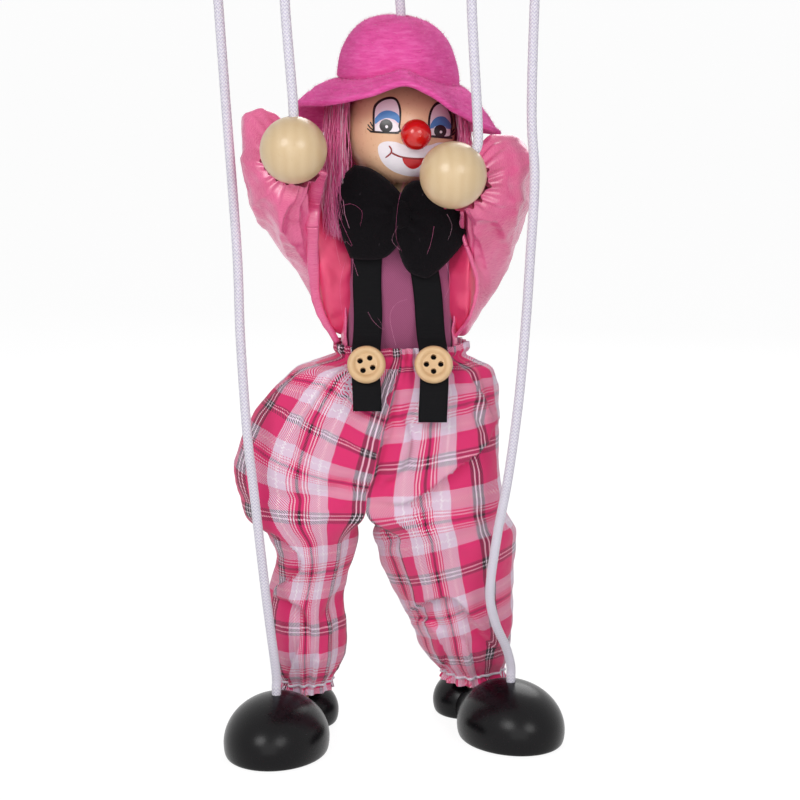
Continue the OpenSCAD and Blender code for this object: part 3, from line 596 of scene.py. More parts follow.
def twill_paint(name, light, dark):
    t = Paint(name, 0.85, Sheen_Weight=0.25)
    place = t.coord("UV")
    u, v = t.split(place)[:2]
    twill = t.math("PINGPONG", t.math("ADD", u, t.math("MULTIPLY", v, 0.8)), 0.3)
    fibre = t.noise(place, 3.0, 3.0)
    tone = t.mix(t.math("MULTIPLY", twill, 3.0), dark, light)
    t.colour(t.mix(t.math("MULTIPLY", fibre, 0.35), tone, dark))
    t.bump(t.math("ADD", twill, fibre), 0.5, 0.0004)
    return t.m


def fibre_paint(name, dark, main, light, rough):
    """Hair, shaded strand by strand."""
    h = Paint(name, rough, Sheen_Weight=0.3, Specular_IOR_Level=0.6)
    strand = h.node("ShaderNodeAttribute", attribute_name="shade").outputs["Fac"]
    grain = h.noise(h.coord(), 500.0, 2.0)
    tone = h.ramp(strand, [(0.0, dark), (0.5, main), (0.85, light), (1.0, srgb(248, 226, 238))])
    h.colour(h.mix(h.math("MULTIPLY", grain, 0.3), tone, dark))
    return h.m


def steel_paint():
    s = Paint("steel_wire", 0.3, Metallic=1.0)
    scratch = s.noise(s.coord(), 900.0, 3.0)
    s.colour(s.mix(scratch, srgb(168, 168, 172), srgb(204, 204, 208)))
    s.rough(between(s, scratch, 0.22, 0.42))
    return s.m


def paint_coat(name, main, other, rough=0.32):
    """Brushed paint of the face, slightly uneven."""
    c = Paint(name, rough, Coat_Weight=0.2, Coat_Roughness=0.2)
    stroke = c.noise(c.scaled(c.coord(), (500.0, 500.0, 1400.0)), 1.0, 3.0)
    c.colour(c.mix(c.math("MULTIPLY", stroke, 0.7), main, other))
    c.bump(stroke, 0.06, 0.0002)
    return c.m


satin = satin_paint("pink_satin", srgb(236, 88, 148), srgb(216, 58, 122), srgb(250, 206, 228), 0.26)
# Painted shade: a darker crimson copy of the satin, for the front of the armholes where shade falls between
# the sleeves and the trunk
painted_shade_satin = satin_paint("crimson_painted_shade", srgb(232, 52, 108), srgb(218, 36, 90), srgb(240, 110, 150), 0.42)
plaid = plaid_paint()
fleece = fleece_paint()
felt = felt_paint()
ribbon = ribbon_paint()
mauve = twill_paint("mauve_cloth", srgb(176, 92, 134), srgb(138, 64, 100))
elastic = twill_paint("white_elastic", srgb(244, 240, 246), srgb(206, 198, 214))
hair_fibre = fibre_paint("pink_hair", srgb(238, 72, 148), srgb(250, 116, 182), srgb(253, 190, 220), 0.45)
fuzz = fibre_paint("fleece_fibre", srgb(204, 52, 136), srgb(228, 76, 162), srgb(240, 120, 188), 0.8)
black_gloss = lacquer("black_lacquer", srgb(8, 7, 9), srgb(20, 18, 22), 0.24, 0.0, 0.2)
red_gloss = lacquer("red_lacquer", srgb(212, 22, 18), srgb(192, 14, 14), 0.2, 0.3, 0.5)
skin = painted_wood()
hand_wood = wood("hand_wood", srgb(222, 196, 156), srgb(202, 168, 122), 0.34, 0.25, 90.0, (1.0, 1.0, 0.25))
limb_wood = wood("limb_wood", srgb(226, 196, 150), srgb(198, 160, 110), 0.6, 0.0, 120.0, (1.0, 1.0, 0.12))
control_wood = wood("control_wood", srgb(222, 186, 134), srgb(190, 146, 94), 0.5, 0.1, 110.0,
                    (1.0, 0.15, 1.0))
button_wood = wood("button_wood", srgb(226, 190, 144), srgb(200, 156, 106), 0.45, 0.15, 160.0,
                   (0.4, 1.0, 1.0))
steel = steel_paint()

BARE = {"control_wood": control_wood, "steel_wire": steel, "face_paint_wood": skin, "red_lacquer": red_gloss,
        "limb_wood": limb_wood, "hand_wood": hand_wood, "button_wood": button_wood,
        "black_lacquer": black_gloss,
        "white_cord": white_cord, "pink_fleece": fleece, "pink_hair": hair_fibre, "mauve_cloth": mauve,
        "pink_satin": satin, "black_felt": felt, "black_ribbon": ribbon, "plaid_cloth": plaid,
        "white_elastic": elastic}
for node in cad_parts.values():
    for held in node.material_slots:
        name = held.material.name.split(".")[0] if held.material else ""
        held.material = BARE.get(name, limb_wood)


def fibres(name, lines, radius, material, shade, tip=0.35):
    """Many fine three-sided strands. lines is strands by points by 3, in millimetres."""
    lines = np.asarray(lines, float)
    n, k = lines.shape[:2]
    t = unit(np.gradient(lines, axis=1))
    guide = np.where(np.abs(t[:, :1, 1:2]) < 0.8, np.array([0, 1.0, 0]), np.array([1.0, 0, 0]))
    a = unit(np.cross(t, np.broadcast_to(guide, t.shape)))
    b = np.cross(t, a)
    r = np.broadcast_to(np.asarray(radius, float), (n,))[:, None] * np.linspace(1, tip, k)[None]
    ring = [lines + r[..., None] * (math.cos(w) * a + math.sin(w) * b) for w in circle(3)]
    points = np.stack(ring, 2).reshape(-1, 3)
    one = np.array(grid_faces(k, 3, True))
    faces = (one[None] + (np.arange(n) * k * 3)[:, None, None]).reshape(-1, 4)
    ends = np.arange(n)[:, None] * k * 3
    caps = np.concatenate([ends + np.array([[2, 1, 0]]), ends + (k - 1) * 3 + np.array([[0, 1, 2]])])
    values = np.repeat(np.broadcast_to(np.asarray(shade, float), (n,)), k * 3)
    return piece(name, points, [*faces, *caps], material, outward=False, values=values)


def lumps(points, size, seed):
    """Smooth noise from -1 to 1 at each point, with features of about size millimetres."""
    places = np.asarray(points, float) / size + np.array([seed, -seed, 2 * seed])
    return np.array([noise.noise(Vector(p)) for p in places])


# Head: hat, hair and painted face
HEAD = np.array([0.0, 0.0, 203.0])
HEAD_R = 17.5
HAT_TOP = 238.8
PEAK = math.radians(273)
# Edge of the brim: angle in degrees from the puppet's left, radius and height
BRIM = [(0, 30.3, 203.4), (40, 30.0, 203.4), (90, 30.5, 204.5), (130, 30.0, 203.6), (152, 29.6, 204.0),
        (165, 30.8, 207.4), (181, 32.8, 211.6), (199, 31.4, 213.3), (225, 29.2, 214.2), (252, 28.4, 217.0),
        (273, 26.4, 220.2), (290, 27.6, 217.0), (303, 28.7, 212.3), (327, 29.7, 206.8)]
BRIM_WALL = 2.3
CROWN_R, BRIM_IN = 19.0, 18.6
HAT_SIDES = 168
CROWN_ROWS, BRIM_ROWS, EDGE_ROWS, UNDER_ROWS = 30, 26, 5, 20
HAT_MIDDLE, HAT_REACH = np.array([0, 0, 214.0]), 28.0


def turn_from(a, centre):
    """Angle from centre, from -pi to pi."""
    return (a - centre + np.pi) % (2 * np.pi) - np.pi


def brim_edge(a):
    """Radius and height of the brim's edge, smooth all the way round."""
    turn = np.degrees(a) % 360
    knots = np.array([b[0] for b in BRIM], float)
    far = np.concatenate([knots[-2:] - 360, knots, knots[:3] + 360])
    values = np.array([b[1:] for b in BRIM])
    values = np.concatenate([values[-2:], values, values[:3]])
    return bend(values, np.interp(turn, far, np.arange(len(far))))


def brim_root(a):
    """Height of the seam between crown and brim, pulled up over the face."""
    return 218.4 - 1.3 * np.cos(a) + 3.6 * np.exp(-(turn_from(a, PEAK) / math.radians(30)) ** 2)


def crown_point(a, rise):
    """Crown of the hat: boxy on its right, rounder on its left. rise is 0 at the foot and 1 at the top."""
    w = rise * np.pi / 2
    r = CROWN_R - 0.6 * np.cos(a)
    fall = np.cos(w) ** (0.74 + 0.22 * np.cos(a))
    x = r * fall * np.cos(a) + 0.9 * np.sin(w)
    y = r * fall * np.sin(a)
    foot = brim_root(a) + 0.5
    return np.stack(np.broadcast_arrays(x, y, foot + (HAT_TOP - foot) * np.sin(w)), -1)


def brim_point(a, p, drop):
    """Brim from the crown's foot, p 0, to its edge, p 1."""
    edge_r, edge_z = brim_edge(a).T
    ridge = np.exp(-(turn_from(a, PEAK) / math.radians(9)) ** 2)
    r = BRIM_IN + (edge_r - BRIM_IN) * p
    root = brim_root(a) - 0.2
    arch = 0.8 * np.sin(np.pi * p) + 0.9 * ridge * np.sin(np.pi * min(p * 1.1, 1))
    z = root + (edge_z - root) * p ** 1.3 + arch
    hem = 0.35 * math.exp(-((p - 0.66) / 0.05) ** 2)
    return np.stack([r * np.cos(a), r * np.sin(a), z - drop + (hem if drop else -hem)], -1)


around = circle(HAT_SIDES)
hat_rows = [crown_point(around, rise) for rise in np.linspace(0.995, 0.0, CROWN_ROWS)]
hat_rows += [brim_point(around, p, 0.0) for p in np.linspace(0.0, 1.0, BRIM_ROWS)]
edge = brim_point(around, 1.0, 0.0)
spoke = np.stack([np.cos(around), np.sin(around), 0 * around], 1)
for w in np.linspace(0.15, 0.85, EDGE_ROWS) * math.pi:
    fall = 0.5 * BRIM_WALL * (1 - math.cos(w))
    hat_rows.append(edge + spoke * (0.6 * BRIM_WALL * math.sin(w)) - np.array([0, 0, fall]))
hat_rows += [brim_point(around, p, BRIM_WALL) for p in np.linspace(0.97, 0.0, UNDER_ROWS)]
hat_points = np.concatenate(hat_rows)
for depth, size, seed in ((0.3, 6.0, 3), (0.7, 13.0, 9)):
    swell = depth * lumps(hat_points, size, seed)[:, None]
    hat_points = hat_points + swell * (hat_points - HAT_MIDDLE) / HAT_REACH
hat_faces = grid_faces(len(hat_rows), HAT_SIDES, True) + [tuple(range(HAT_SIDES))[::-1]]
hat = piece("hat", hat_points, hat_faces, fleece)
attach(hat, "head")
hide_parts("hat_crown", "hat_brim")

# Nap of the hat: fibres on its outer rows, which hang down where they stand on the brim's edge
FUZZ = 9000
FUZZ_ROWS = CROWN_ROWS + BRIM_ROWS + 4
NAP_CENTRE = np.array([0, 0, 208.0])
rng = Rng(5)
grid = hat_points.reshape(len(hat_rows), HAT_SIDES, 3)
pick_row = rng.r.randint(1, FUZZ_ROWS, FUZZ)
pick_col = rng.r.randint(0, HAT_SIDES, FUZZ)
root = grid[pick_row, pick_col]
along = grid[pick_row, (pick_col + 1) % HAT_SIDES] - root
across = grid[pick_row + 1, pick_col] - root
root = root + along * rng.span(0, 1, FUZZ)[:, None] + across * rng.span(0, 1, FUZZ)[:, None]
lift = unit(np.cross(across, along))
lift *= np.sign(np.sum(lift * (root - NAP_CENTRE), 1))[:, None]
lift[pick_row > CROWN_ROWS + BRIM_ROWS] = [0, 0, -1]
lay = unit(along) * rng.r.choice([-1, 1], FUZZ)[:, None]
grow = lift * rng.span(0.3, 0.8, FUZZ)[:, None] + lay * rng.span(0.2, 0.9, FUZZ)[:, None]
grow = grow + rng.bell(0.3, (FUZZ, 3))
reach = rng.span(0.5, 1.2, FUZZ)[:, None]
hairs = np.stack([root - 0.1 * lift, root + 0.55 * reach * grow, root + reach * (grow - 0.3 * lift)], 1)
hat_fuzz = fibres("hat_fuzz", hairs, rng.span(0.022, 0.045, FUZZ), fuzz, rng.span(0.2, 0.95, FUZZ))
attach(hat_fuzz, "head")


STRAND_POINTS = 11
along_strand = np.linspace(0, 1, STRAND_POINTS)


def lock(roots, ends, sway, n, seed, spread):
    """Strands from roots to ends, each with its own sway. spread is that of the roots and the ends."""
    g = Rng(seed)
    s = along_strand
    out = []
    for _ in range(n):
        f = g.span(0, 1)
        a = bend(roots, [f * (len(roots) - 1)])[0] + g.bell(spread[0], 3)
        b = bend(ends, [f * (len(ends) - 1)])[0] + g.bell(spread[1], 3)
        middle = (a + b) / 2 + np.asarray(sway) + g.bell(1.0, 3)
        c = (1 - s)[:, None] ** 2 * a + (2 * s * (1 - s))[:, None] * middle + (s ** 2)[:, None] * b
        phase, amount = g.span(0, 6.3), g.span(0.3, 1.3)
        c[:, 0] += amount * np.sin(9 * s + phase) * s
        c[:, 1] += amount * np.cos(8 * s + phase) * s
        out.append(c)
    return np.array(out)


HAIR_CLEAR = 0.3


def off_head(lines):
    """Pushes strands out of the head ball."""
    d = lines - HEAD
    far = np.linalg.norm(d, axis=2)[..., None]
    return np.where(far < HEAD_R + HAIR_CLEAR, HEAD + d / far * (HEAD_R + HAIR_CLEAR), lines)


right_lock = lock([(-17.4, -9, 213), (-20.5, -5, 212), (-21.5, 1, 211)],
                  [(-16.4, -13.6, 178), (-19.4, -12.8, 172), (-21.6, -9.5, 176)],
                  (-2.4, -1.6, 2), 680, 11, (0.9, 1.5))
left_lock = lock([(18.6, -8, 209), (20.5, -3, 208)], [(19.4, -12, 188), (21.0, -7, 186)],
                 (1.8, -0.8, 2), 160, 12, (0.7, 0.9))
NAPE_STRANDS, NAPE_TOP = 1700, 214
nape = []
for w in np.linspace(math.radians(-14), math.radians(194), NAPE_STRANDS):
    g = Rng(int(5000 + 4000 * w))
    turn = w + g.bell(0.05)
    s = along_strand
    low = g.span(181, 187) if abs(w - math.pi / 2) < 1.3 else g.span(185, 193)
    r = HEAD_R + 2.2 * np.sin(np.pi * s * 0.75) + g.span(-0.2, 1.3) - 3.0 * s ** 3
    sway = 0.35 * np.sin(5 * s + g.span(0, 6))
    nape.append(np.stack([r * math.cos(turn) + sway, r * math.sin(turn) + sway,
                          NAPE_TOP - (NAPE_TOP - low) * s], 1))
head_hair = off_head(np.concatenate([right_lock, left_lock, np.array(nape)]))
strands = len(head_hair)
thick = rng.span(0.09, 0.19, strands)
hair = fibres("hair_strands", head_hair, thick, hair_fibre, np.clip(rng.bell(0.25, strands) + 0.5, 0, 1))
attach(hair, "head")
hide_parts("hair")

# Loose hairs that lie on the bow and shirt
# Lines of the picture, and the front of the bow above its foot and of the shirt below
STRAYS = [((342, 206), (352, 204), (362, 212), (360, 226)), ((338, 214), (346, 232), (352, 246), (345, 240)),
          ((404, 182), (398, 205), (396, 236), (402, 252)), ((434, 226), (430, 246), (420, 266), (404, 272)),
          ((345, 262), (340, 285), (342, 312), (346, 330)), ((352, 258), (358, 276), (355, 268)),
          ((368, 312), (374, 322), (384, 330), (378, 318)), ((396, 346), (390, 318), (396, 304), (408, 299)),
          ((446, 262), (450, 282), (444, 300)), ((400, 250), (392, 240), (398, 226)),
          ((333, 222), (336, 246), (341, 268)), ((447, 214), (452, 226), (448, 240))]
BOW_FOOT, BOW_FRONT, SHIRT_FRONT = 262, -19.4, -13.4
stray = []
for line in STRAYS:
    spots = [at(x, y, BOW_FRONT if y < BOW_FOOT else SHIRT_FRONT) for x, y in line]
    stray.append(bend(spots, np.linspace(0, len(line) - 1, 16)))
stray_hair = fibres("stray_hair", np.array(stray), 0.035, hair_fibre, np.linspace(0.4, 0.9, len(stray)))
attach(stray_hair, "trunk")


def on_head(px, py, lift):
    """Point of the head ball, raised by lift, that the picture shows at px, py."""
    d = ray(px, py)
    m = EYE - HEAD
    b = m @ d
    gap = b * b - (m @ m - (HEAD_R + lift) ** 2)
    return EYE + d * (-b - math.sqrt(max(gap, 0.0)))


def decal(name, outline, lift, material, smooth=True, step=2.0):
    """A patch of paint on the head ball, from its outline in the picture."""
    p = np.array(outline, float)
    if smooth:
        p = bend(np.concatenate([p, p[:1]]), np.linspace(0, len(p), 6 * len(p) + 1))[:-1]
    work = bmesh.new()
    work.faces.new([work.verts.new((x, y, 0)) for x, y in p])
    bmesh.ops.triangulate(work, faces=work.faces)
    for _ in range(6):
        long = [e for e in work.edges if e.calc_length() > step]
        if not long:
            break
        bmesh.ops.subdivide_edges(work, edges=long, cuts=1, use_grid_fill=False)
        bmesh.ops.triangulate(work, faces=[f for f in work.faces if len(f.verts) > 3])
    work.verts.index_update()
    flat = [(v.co.x, v.co.y) for v in work.verts]
    faces = [tuple(v.index for v in f.verts) for f in work.faces]
    work.free()
    obj = piece(name, [on_head(x, y, lift) for x, y in flat], faces, material, outward=False)
    out = np.array([on_head(*flat[i], lift) for i in faces[0]])
    if np.cross(out[1] - out[0], out[2] - out[0]) @ (out[0] - HEAD) < 0:
        obj.data.flip_normals()
    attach(obj, "head")


def stroke(name, line, width, lift, material, ends=(1.0, 1.0)):
    """A brush line on the head ball, tapered to its ends."""
    c = bend(np.array(line, float), np.linspace(0, len(line) - 1, 10 * len(line)))
    t = unit(np.gradient(c, axis=0))
    side = np.stack([-t[:, 1], t[:, 0]], 1)
    s = np.linspace(0, 1, len(c))
    full = np.minimum(np.minimum(1, ends[0] + s * 6), ends[1] + (1 - s) * 6)[:, None] * width / 2
    decal(name, np.concatenate([c + side * full, (c - side * full)[::-1]]), lift, material, smooth=False)


paint_black = paint_coat("face_black", srgb(18, 14, 16), srgb(36, 28, 30))
paint_white = paint_coat("face_white", srgb(250, 246, 250), srgb(236, 228, 238))
paint_lilac = paint_coat("face_lilac", srgb(244, 226, 236), srgb(236, 208, 222))
paint_blue = paint_coat("face_blue", srgb(70, 130, 196), srgb(96, 156, 214))
paint_red = paint_coat("face_red", srgb(206, 26, 30), srgb(184, 16, 22))
paint_smile = paint_coat("face_smile", srgb(152, 22, 28), srgb(126, 12, 20))

CROP_X, CROP_Y, CROP_ZOOM = 285.0, 10.0, 6.53


def crop(points):
    """Picture places read off an enlarged crop of the face."""
    return [(CROP_X + x / CROP_ZOOM, CROP_Y + y / CROP_ZOOM) for x, y in points]


def disc(x, y, r):
    return [(x + r * math.cos(w), y + r * math.sin(w)) for w in circle(14)]


# Lift of each coat of paint above the head ball, in millimetres
COAT_1, COAT_2, COAT_3, COAT_4, COAT_5 = 0.05, 0.09, 0.13, 0.17, 0.21


EYES = {
    "right": {
        "arch": [(572, 796), (574, 650), (600, 600), (650, 572), (700, 566), (736, 586), (757, 640),
                 (759, 700), (752, 760), (742, 802)],
        "inner": [(586, 790), (588, 660), (610, 614), (652, 588), (698, 582), (726, 598), (743, 644),
                  (746, 700), (740, 758), (732, 794)],
        "lid": [(588, 706), (620, 672), (662, 656), (710, 664), (745, 692), (743, 738), (712, 716),
                (664, 706), (620, 722), (589, 744)],
        "white": [(590, 790), (592, 762), (620, 738), (664, 720), (712, 732), (738, 758), (733, 794)],
        "iris": (660, 756, 43), "spark": (664, 762, 10),
        "base": [(552, 792), (600, 797), (660, 800), (744, 804)],
        "lashes": [[(576, 784), (556, 768), (540, 746)], [(578, 768), (566, 750), (556, 730)],
                   [(572, 794), (552, 786), (536, 772)]],
    },
    "left": {
        "arch": [(936, 820), (934, 720), (950, 650), (984, 606), (1030, 598), (1068, 634), (1094, 700),
                 (1094, 766), (1078, 832)],
        "inner": [(950, 814), (948, 724), (962, 660), (990, 622), (1028, 614), (1058, 646), (1080, 704),
                  (1080, 762), (1066, 822)],
        "lid": [(950, 748), (972, 714), (1004, 696), (1046, 700), (1082, 744), (1079, 778), (1048, 750),
                (1008, 740), (974, 752), (950, 778)],
        "white": [(952, 816), (954, 786), (976, 764), (1010, 752), (1046, 762), (1074, 790), (1066, 824)],
        "iris": (1014, 791, 41), "spark": (1018, 796, 9),
        "base": [(934, 822), (990, 829), (1050, 834), (1096, 836)],
        "lashes": [[(1076, 822), (1098, 812), (1112, 794)], [(1080, 806), (1096, 792), (1106, 774)]],
    },
}
for side, eye in EYES.items():
    decal(f"{side}_eye_arch", crop(eye["arch"]), COAT_1, paint_black)
    decal(f"{side}_eye_field", crop(eye["inner"]), COAT_2, paint_lilac)
    decal(f"{side}_eye_white", crop(eye["white"]), COAT_3, paint_white)
    decal(f"{side}_eye_lid", crop(eye["lid"]), COAT_3, paint_blue)
    decal(f"{side}_iris", crop(disc(*eye["iris"])), COAT_4, paint_black, step=1.0)
    decal(f"{side}_spark", crop(disc(*eye["spark"])), COAT_5, paint_white, step=1.0)
    stroke(f"{side}_eye_base", crop(eye["base"]), 1.9, COAT_5, paint_black, ends=(0.5, 0.5))
    for k, lash in enumerate(eye["lashes"]):
        stroke(f"{side}_lash_{k + 1}", crop(lash), 1.3, COAT_2, paint_black, ends=(1.0, 0.2))

decal("muzzle", crop([(606, 896), (622, 872), (662, 858), (722, 862), (778, 880), (860, 892), (940, 884),
                      (1000, 866), (1060, 870),
                      (1090, 896), (1092, 950), (1068, 1004), (1020, 1050), (960, 1078), (880, 1088),
                      (800, 1084), (740, 1068),
                      (690, 1044), (640, 1000), (612, 944)]), COAT_1, paint_white)
decal("tongue", crop([(764, 962), (774, 995), (798, 1024), (830, 1038), (862, 1032), (892, 1004), (908, 972),
                      (836, 972)]), COAT_2, paint_red)
stroke("smile", crop([(690, 928), (722, 946), (762, 960), (834, 970), (908, 970), (960, 958), (1002, 936),
                      (1022, 914)]), 1.7, COAT_3, paint_smile,
       ends=(0.5, 0.5))
for side, line in (("right", [(678, 886), (694, 910), (690, 936), (654, 966)]),
                   ("left", [(1036, 884), (1020, 906), (1024, 932), (1056, 960)])):
    stroke(f"smile_{side}_end", crop(line), 1.5, COAT_4, paint_smile, ends=(0.3, 0.3))


# Shirt, jacket and sleeves
def box_ring(a, rx, ry, power):
    """Rounded rectangle round the trunk: power 1 is an ellipse, smaller is squarer."""
    c, s = np.cos(a), np.sin(a)
    return np.stack([rx * np.sign(c) * np.abs(c) ** power, ry * np.sign(s) * np.abs(s) ** power], -1)


def skin_of(name, sections, angles, closed, material, wrinkle, size, seed):
    """Loft of rounded rectangles up the trunk. A section is z, rx, ry, power, y."""
    table = bend(np.array(sections, float), np.linspace(0, len(sections) - 1, 14 * (len(sections) - 1) + 1))
    grid = []
    for z, rx, ry, power, y in table:
        flat = box_ring(angles, rx, ry, power) + [0, y]
        grid.append(np.column_stack([flat, np.full(len(angles), z)]))
    grid = np.array(grid)
    points = grid.reshape(-1, 3)
    out = points - np.array([0, 0, 158.0])
    out[:, 2] *= 0.15
    push = wrinkle * lumps(points, size, seed) + 0.4 * wrinkle * lumps(points, size / 2.6, seed + 4)
    points = points + unit(out) * push[:, None]
    grid = points.reshape(grid.shape)
    uv = flat_map(run_along(grid[len(grid) // 2]), run_along(grid[:, 0]))
    return piece(name, points, grid_faces(len(grid), len(angles), closed), material, uv)


CLOTH_WALL = 0.6
SHIRT = [(133, 16.9, 9.9, 0.4, 0), (146, 17.0, 10.0, 0.4, 0), (160, 17.0, 10.0, 0.4, 0),
         (174, 16.9, 9.9, 0.42, 0), (181, 16.2, 9.4, 0.5, 0), (183.4, 12.5, 8.0, 0.7, 0),
         (183.9, 6.0, 5.2, 1, 0)]
shirt = skin_of("shirt_cloth", SHIRT, circle(120), True, mauve, 0.45, 7.0, 2)
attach(wall(shirt, CLOTH_WALL), "trunk")
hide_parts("shirt")

JACKET = [(134.5, 18.2, 11.4, 0.5, 0.2), (146, 18.6, 11.9, 0.5, 0.4), (160, 18.6, 12.0, 0.5, 0.5),
          (172, 18.2, 11.7, 0.52, 0.4), (180, 17.4, 10.8, 0.6, 0.2), (184.6, 13.0, 8.8, 0.8, 0),
          (185.6, 7.0, 6.2, 1, 0)]
open_turn = np.linspace(math.radians(-30), math.radians(210), 150)
jacket = skin_of("jacket_cloth", JACKET, open_turn, False, satin, 0.85, 9.0, 6)
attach(wall(jacket, CLOTH_WALL), "trunk")
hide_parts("jacket")

# A sleeve's stations: centre, sideways half axis, upward half axis, from the armhole to the ruffle
SLEEVES = {
    "right": [((-16.0, 0.5, 160), (0.5, -9.0, 0), (0, 0, 22.0)),
              ((-23.5, -1.5, 162), (1.5, -10.6, 0), (-1.0, 0, 22.0)),
              ((-33.5, -5.0, 174.0), (6.5, -9.8, -1.0), (-3.5, -2.0, 18.5)),
              ((-38.5, -13.0, 185.5), (9.6, -6.4, -2.0), (-3.6, 3.0, 18.4)),
              ((-39.6, -19.6, 193.6), (9.9, -2.4, -3.0), (-2.2, 6.0, 17.2)),
              ((-37.0, -24.0, 195.0), (8.8, 0.0, -2.0), (-1.4, 6.2, 12.0)),
              ((-33.4, -26.4, 194.4), (6.4, 0.6, -0.8), (-0.4, 3.6, 5.8)),
              ((-32.7, -28.0, 195.4), (7.6, 0.4, -0.6), (0, 4.2, 6.8)),
              ((-32.4, -29.8, 196.4), (8.8, 0.2, -0.4), (0, 4.4, 7.8))],
    "left": [((16.0, 0.5, 160), (-0.5, -9.0, 0), (0, 0, 22.0)),
             ((21.0, -2.5, 160.5), (-0.6, -11.6, 0), (-0.8, 0, 21.5)),
             ((29.5, -6.0, 170.5), (-7.6, -9.6, 0.6), (1.0, -2.0, 17.8)),
             ((31.0, -12.0, 182.0), (-9.8, -5.2, 0.6), (3.2, 2.0, 17.6)),
             ((29.8, -18.4, 188.6), (-9.8, 1.6, 0.0), (3.0, 4.4, 14.6)),
             ((25.4, -22.8, 189.0), (-8.2, 3.2, 0.0), (2.0, 4.0, 11.0)),
             ((20.6, -25.8, 188.4), (-5.8, 2.6, 0.0), (1.2, 2.6, 6.2)),
             ((19.2, -27.4, 189.0), (-7.0, 2.8, 0.0), (0.8, 3.2, 7.2)),
             ((18.0, -29.0, 189.6), (-8.2, 2.6, 0.0), (0.6, 3.2, 8.4))],
}
# Shoulder, elbow and hand of each arm
ARMS = {"right": [(-18, 0, 176), (-34, 0, 176), (-32, -35, 199.5)],
        "left": [(18, 0, 176), (30, 0, 176), (16, -35, 192)]}
ELBOW_STATION = 2
GATHER_STATION = 6
FLAT_STATION = 3
SLEEVE_STEPS = 18
AROUND_SLEEVE = 150


def crest(x):
    """Folds with a sharp crest and a wide trough, from -1 to 1."""
    return 1 - 2 * np.abs(np.sin(x / 2)) ** 0.8


# Clearance of the cloth over the upper arm and over the near half of the forearm
ARM_CLEAR, FOREARM_CLEAR = 6.4, 5.4


def sleeve_grid(stations, seed, arm):
    """Rings of a sleeve, gathered towards its cuff and slack below the arm."""
    s = np.linspace(0, len(stations) - 1, SLEEVE_STEPS * (len(stations) - 1) + 1)
    c, side, up = (bend([st[k] for st in stations], s) for k in range(3))
    a = circle(AROUND_SLEEVE)
    s1 = s[:, None]
    gather = np.exp(-(np.maximum(GATHER_STATION - s1, 0) / 0.9) ** 2)
    pleats = 0.075 * np.cos(13 * a + 0.9 * np.sin(3 * a) + seed) + 0.05 * np.cos(21 * a + 1.7 * np.sin(2 * a))
    loose = np.exp(-((s1 - 3.9) / 1.5) ** 2) * (1 - 0.75 * np.clip(np.sin(a), 0, 1))
    folds = 0.085 * crest(5 * a + 1.1 * s1 + seed) + 0.06 * crest(8 * a - 1.6 * s1 + 2 * seed)
    wave = 1 + gather * pleats + loose * folds
    points = (c[:, None] + wave[..., None] * spokes(side, up, a)).reshape(-1, 3)
    push = 1.2 * lumps(points, 8.0, seed) + 0.45 * lumps(points, 3.6, seed + 3)
    points = points + unit(points - np.repeat(c, AROUND_SLEEVE, 0)) * push[:, None]
    # The cloth stays clear of the arm inside it
    shoulder, elbow, hand = (np.array(p, float) for p in arm)
    halfway = elbow + 0.5 * (hand - elbow)
    for start, end, clear in ((shoulder, elbow, ARM_CLEAR), (elbow, halfway, FOREARM_CLEAR)):
        d = end - start
        on_arm = start + np.clip((points - start) @ d / (d @ d), 0, 1)[:, None] * d
        away = points - on_arm
        near = np.linalg.norm(away, axis=1)[:, None] < clear
        points = np.where(near, on_arm + unit(away) * clear, points)
    return points.reshape(len(s), AROUND_SLEEVE, 3)


def cloth_uv(grid, row_index):
    """Flat coordinates in millimetres, from the length round one ring and the line of centres."""
    return np.stack(np.meshgrid(run_along(grid[row_index]), run_along(grid.mean(1))), -1)


HEM_SIDES = 16
HEM_SAMPLES, HEM_BLUR, HEM_STEP = 70, 17, 0.7
HEM_NEAR, HEM_LIFT = 5.0, 0.3


def hem_path(line, cloth):
    """A line of the picture laid on the front of the cloth, at even distances."""
    seen = to_picture(cloth)
    path = []
    for x, y in bend(np.array(line, float), np.linspace(0, len(line) - 1, HEM_SAMPLES)):
        near = np.hypot(seen[:, 0] - x, seen[:, 1] - y)
        close = cloth[near < max(HEM_NEAR, near.min() + 1.0)]
        path.append((x, y, float(close[:, 1].min())))
    path = np.array(path)
    wide = np.pad(path[:, 2], HEM_BLUR // 2, mode="edge")
    depth = np.convolve(wide, np.ones(HEM_BLUR) / HEM_BLUR, mode="valid")
    return even(np.array([at(x, y, d - HEM_LIFT) for (x, y, _), d in zip(path, depth)])[::3], HEM_STEP)


def hem_strip(name, path, widths):
    """A rolled hem along a path."""
    t = unit(np.gradient(path, axis=0))
    side = unit(np.cross(t, [0, 1.0, 0]))
    turn = circle(HEM_SIDES)
    rings = path[:, None] + spokes(widths[:, None] / 2 * side, 0.75 * np.cross(side, t), turn)
    rough = 0.25 * lumps(rings.reshape(-1, 3), 3.0, 5).reshape(rings.shape[:2])
    rings = rings + rough[..., None] * side[:, None]
    obj = piece(name, rings.reshape(-1, 3), tube_faces(len(path), HEM_SIDES), satin,
                flat_map(turn, run_along(path)))
    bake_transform(obj)


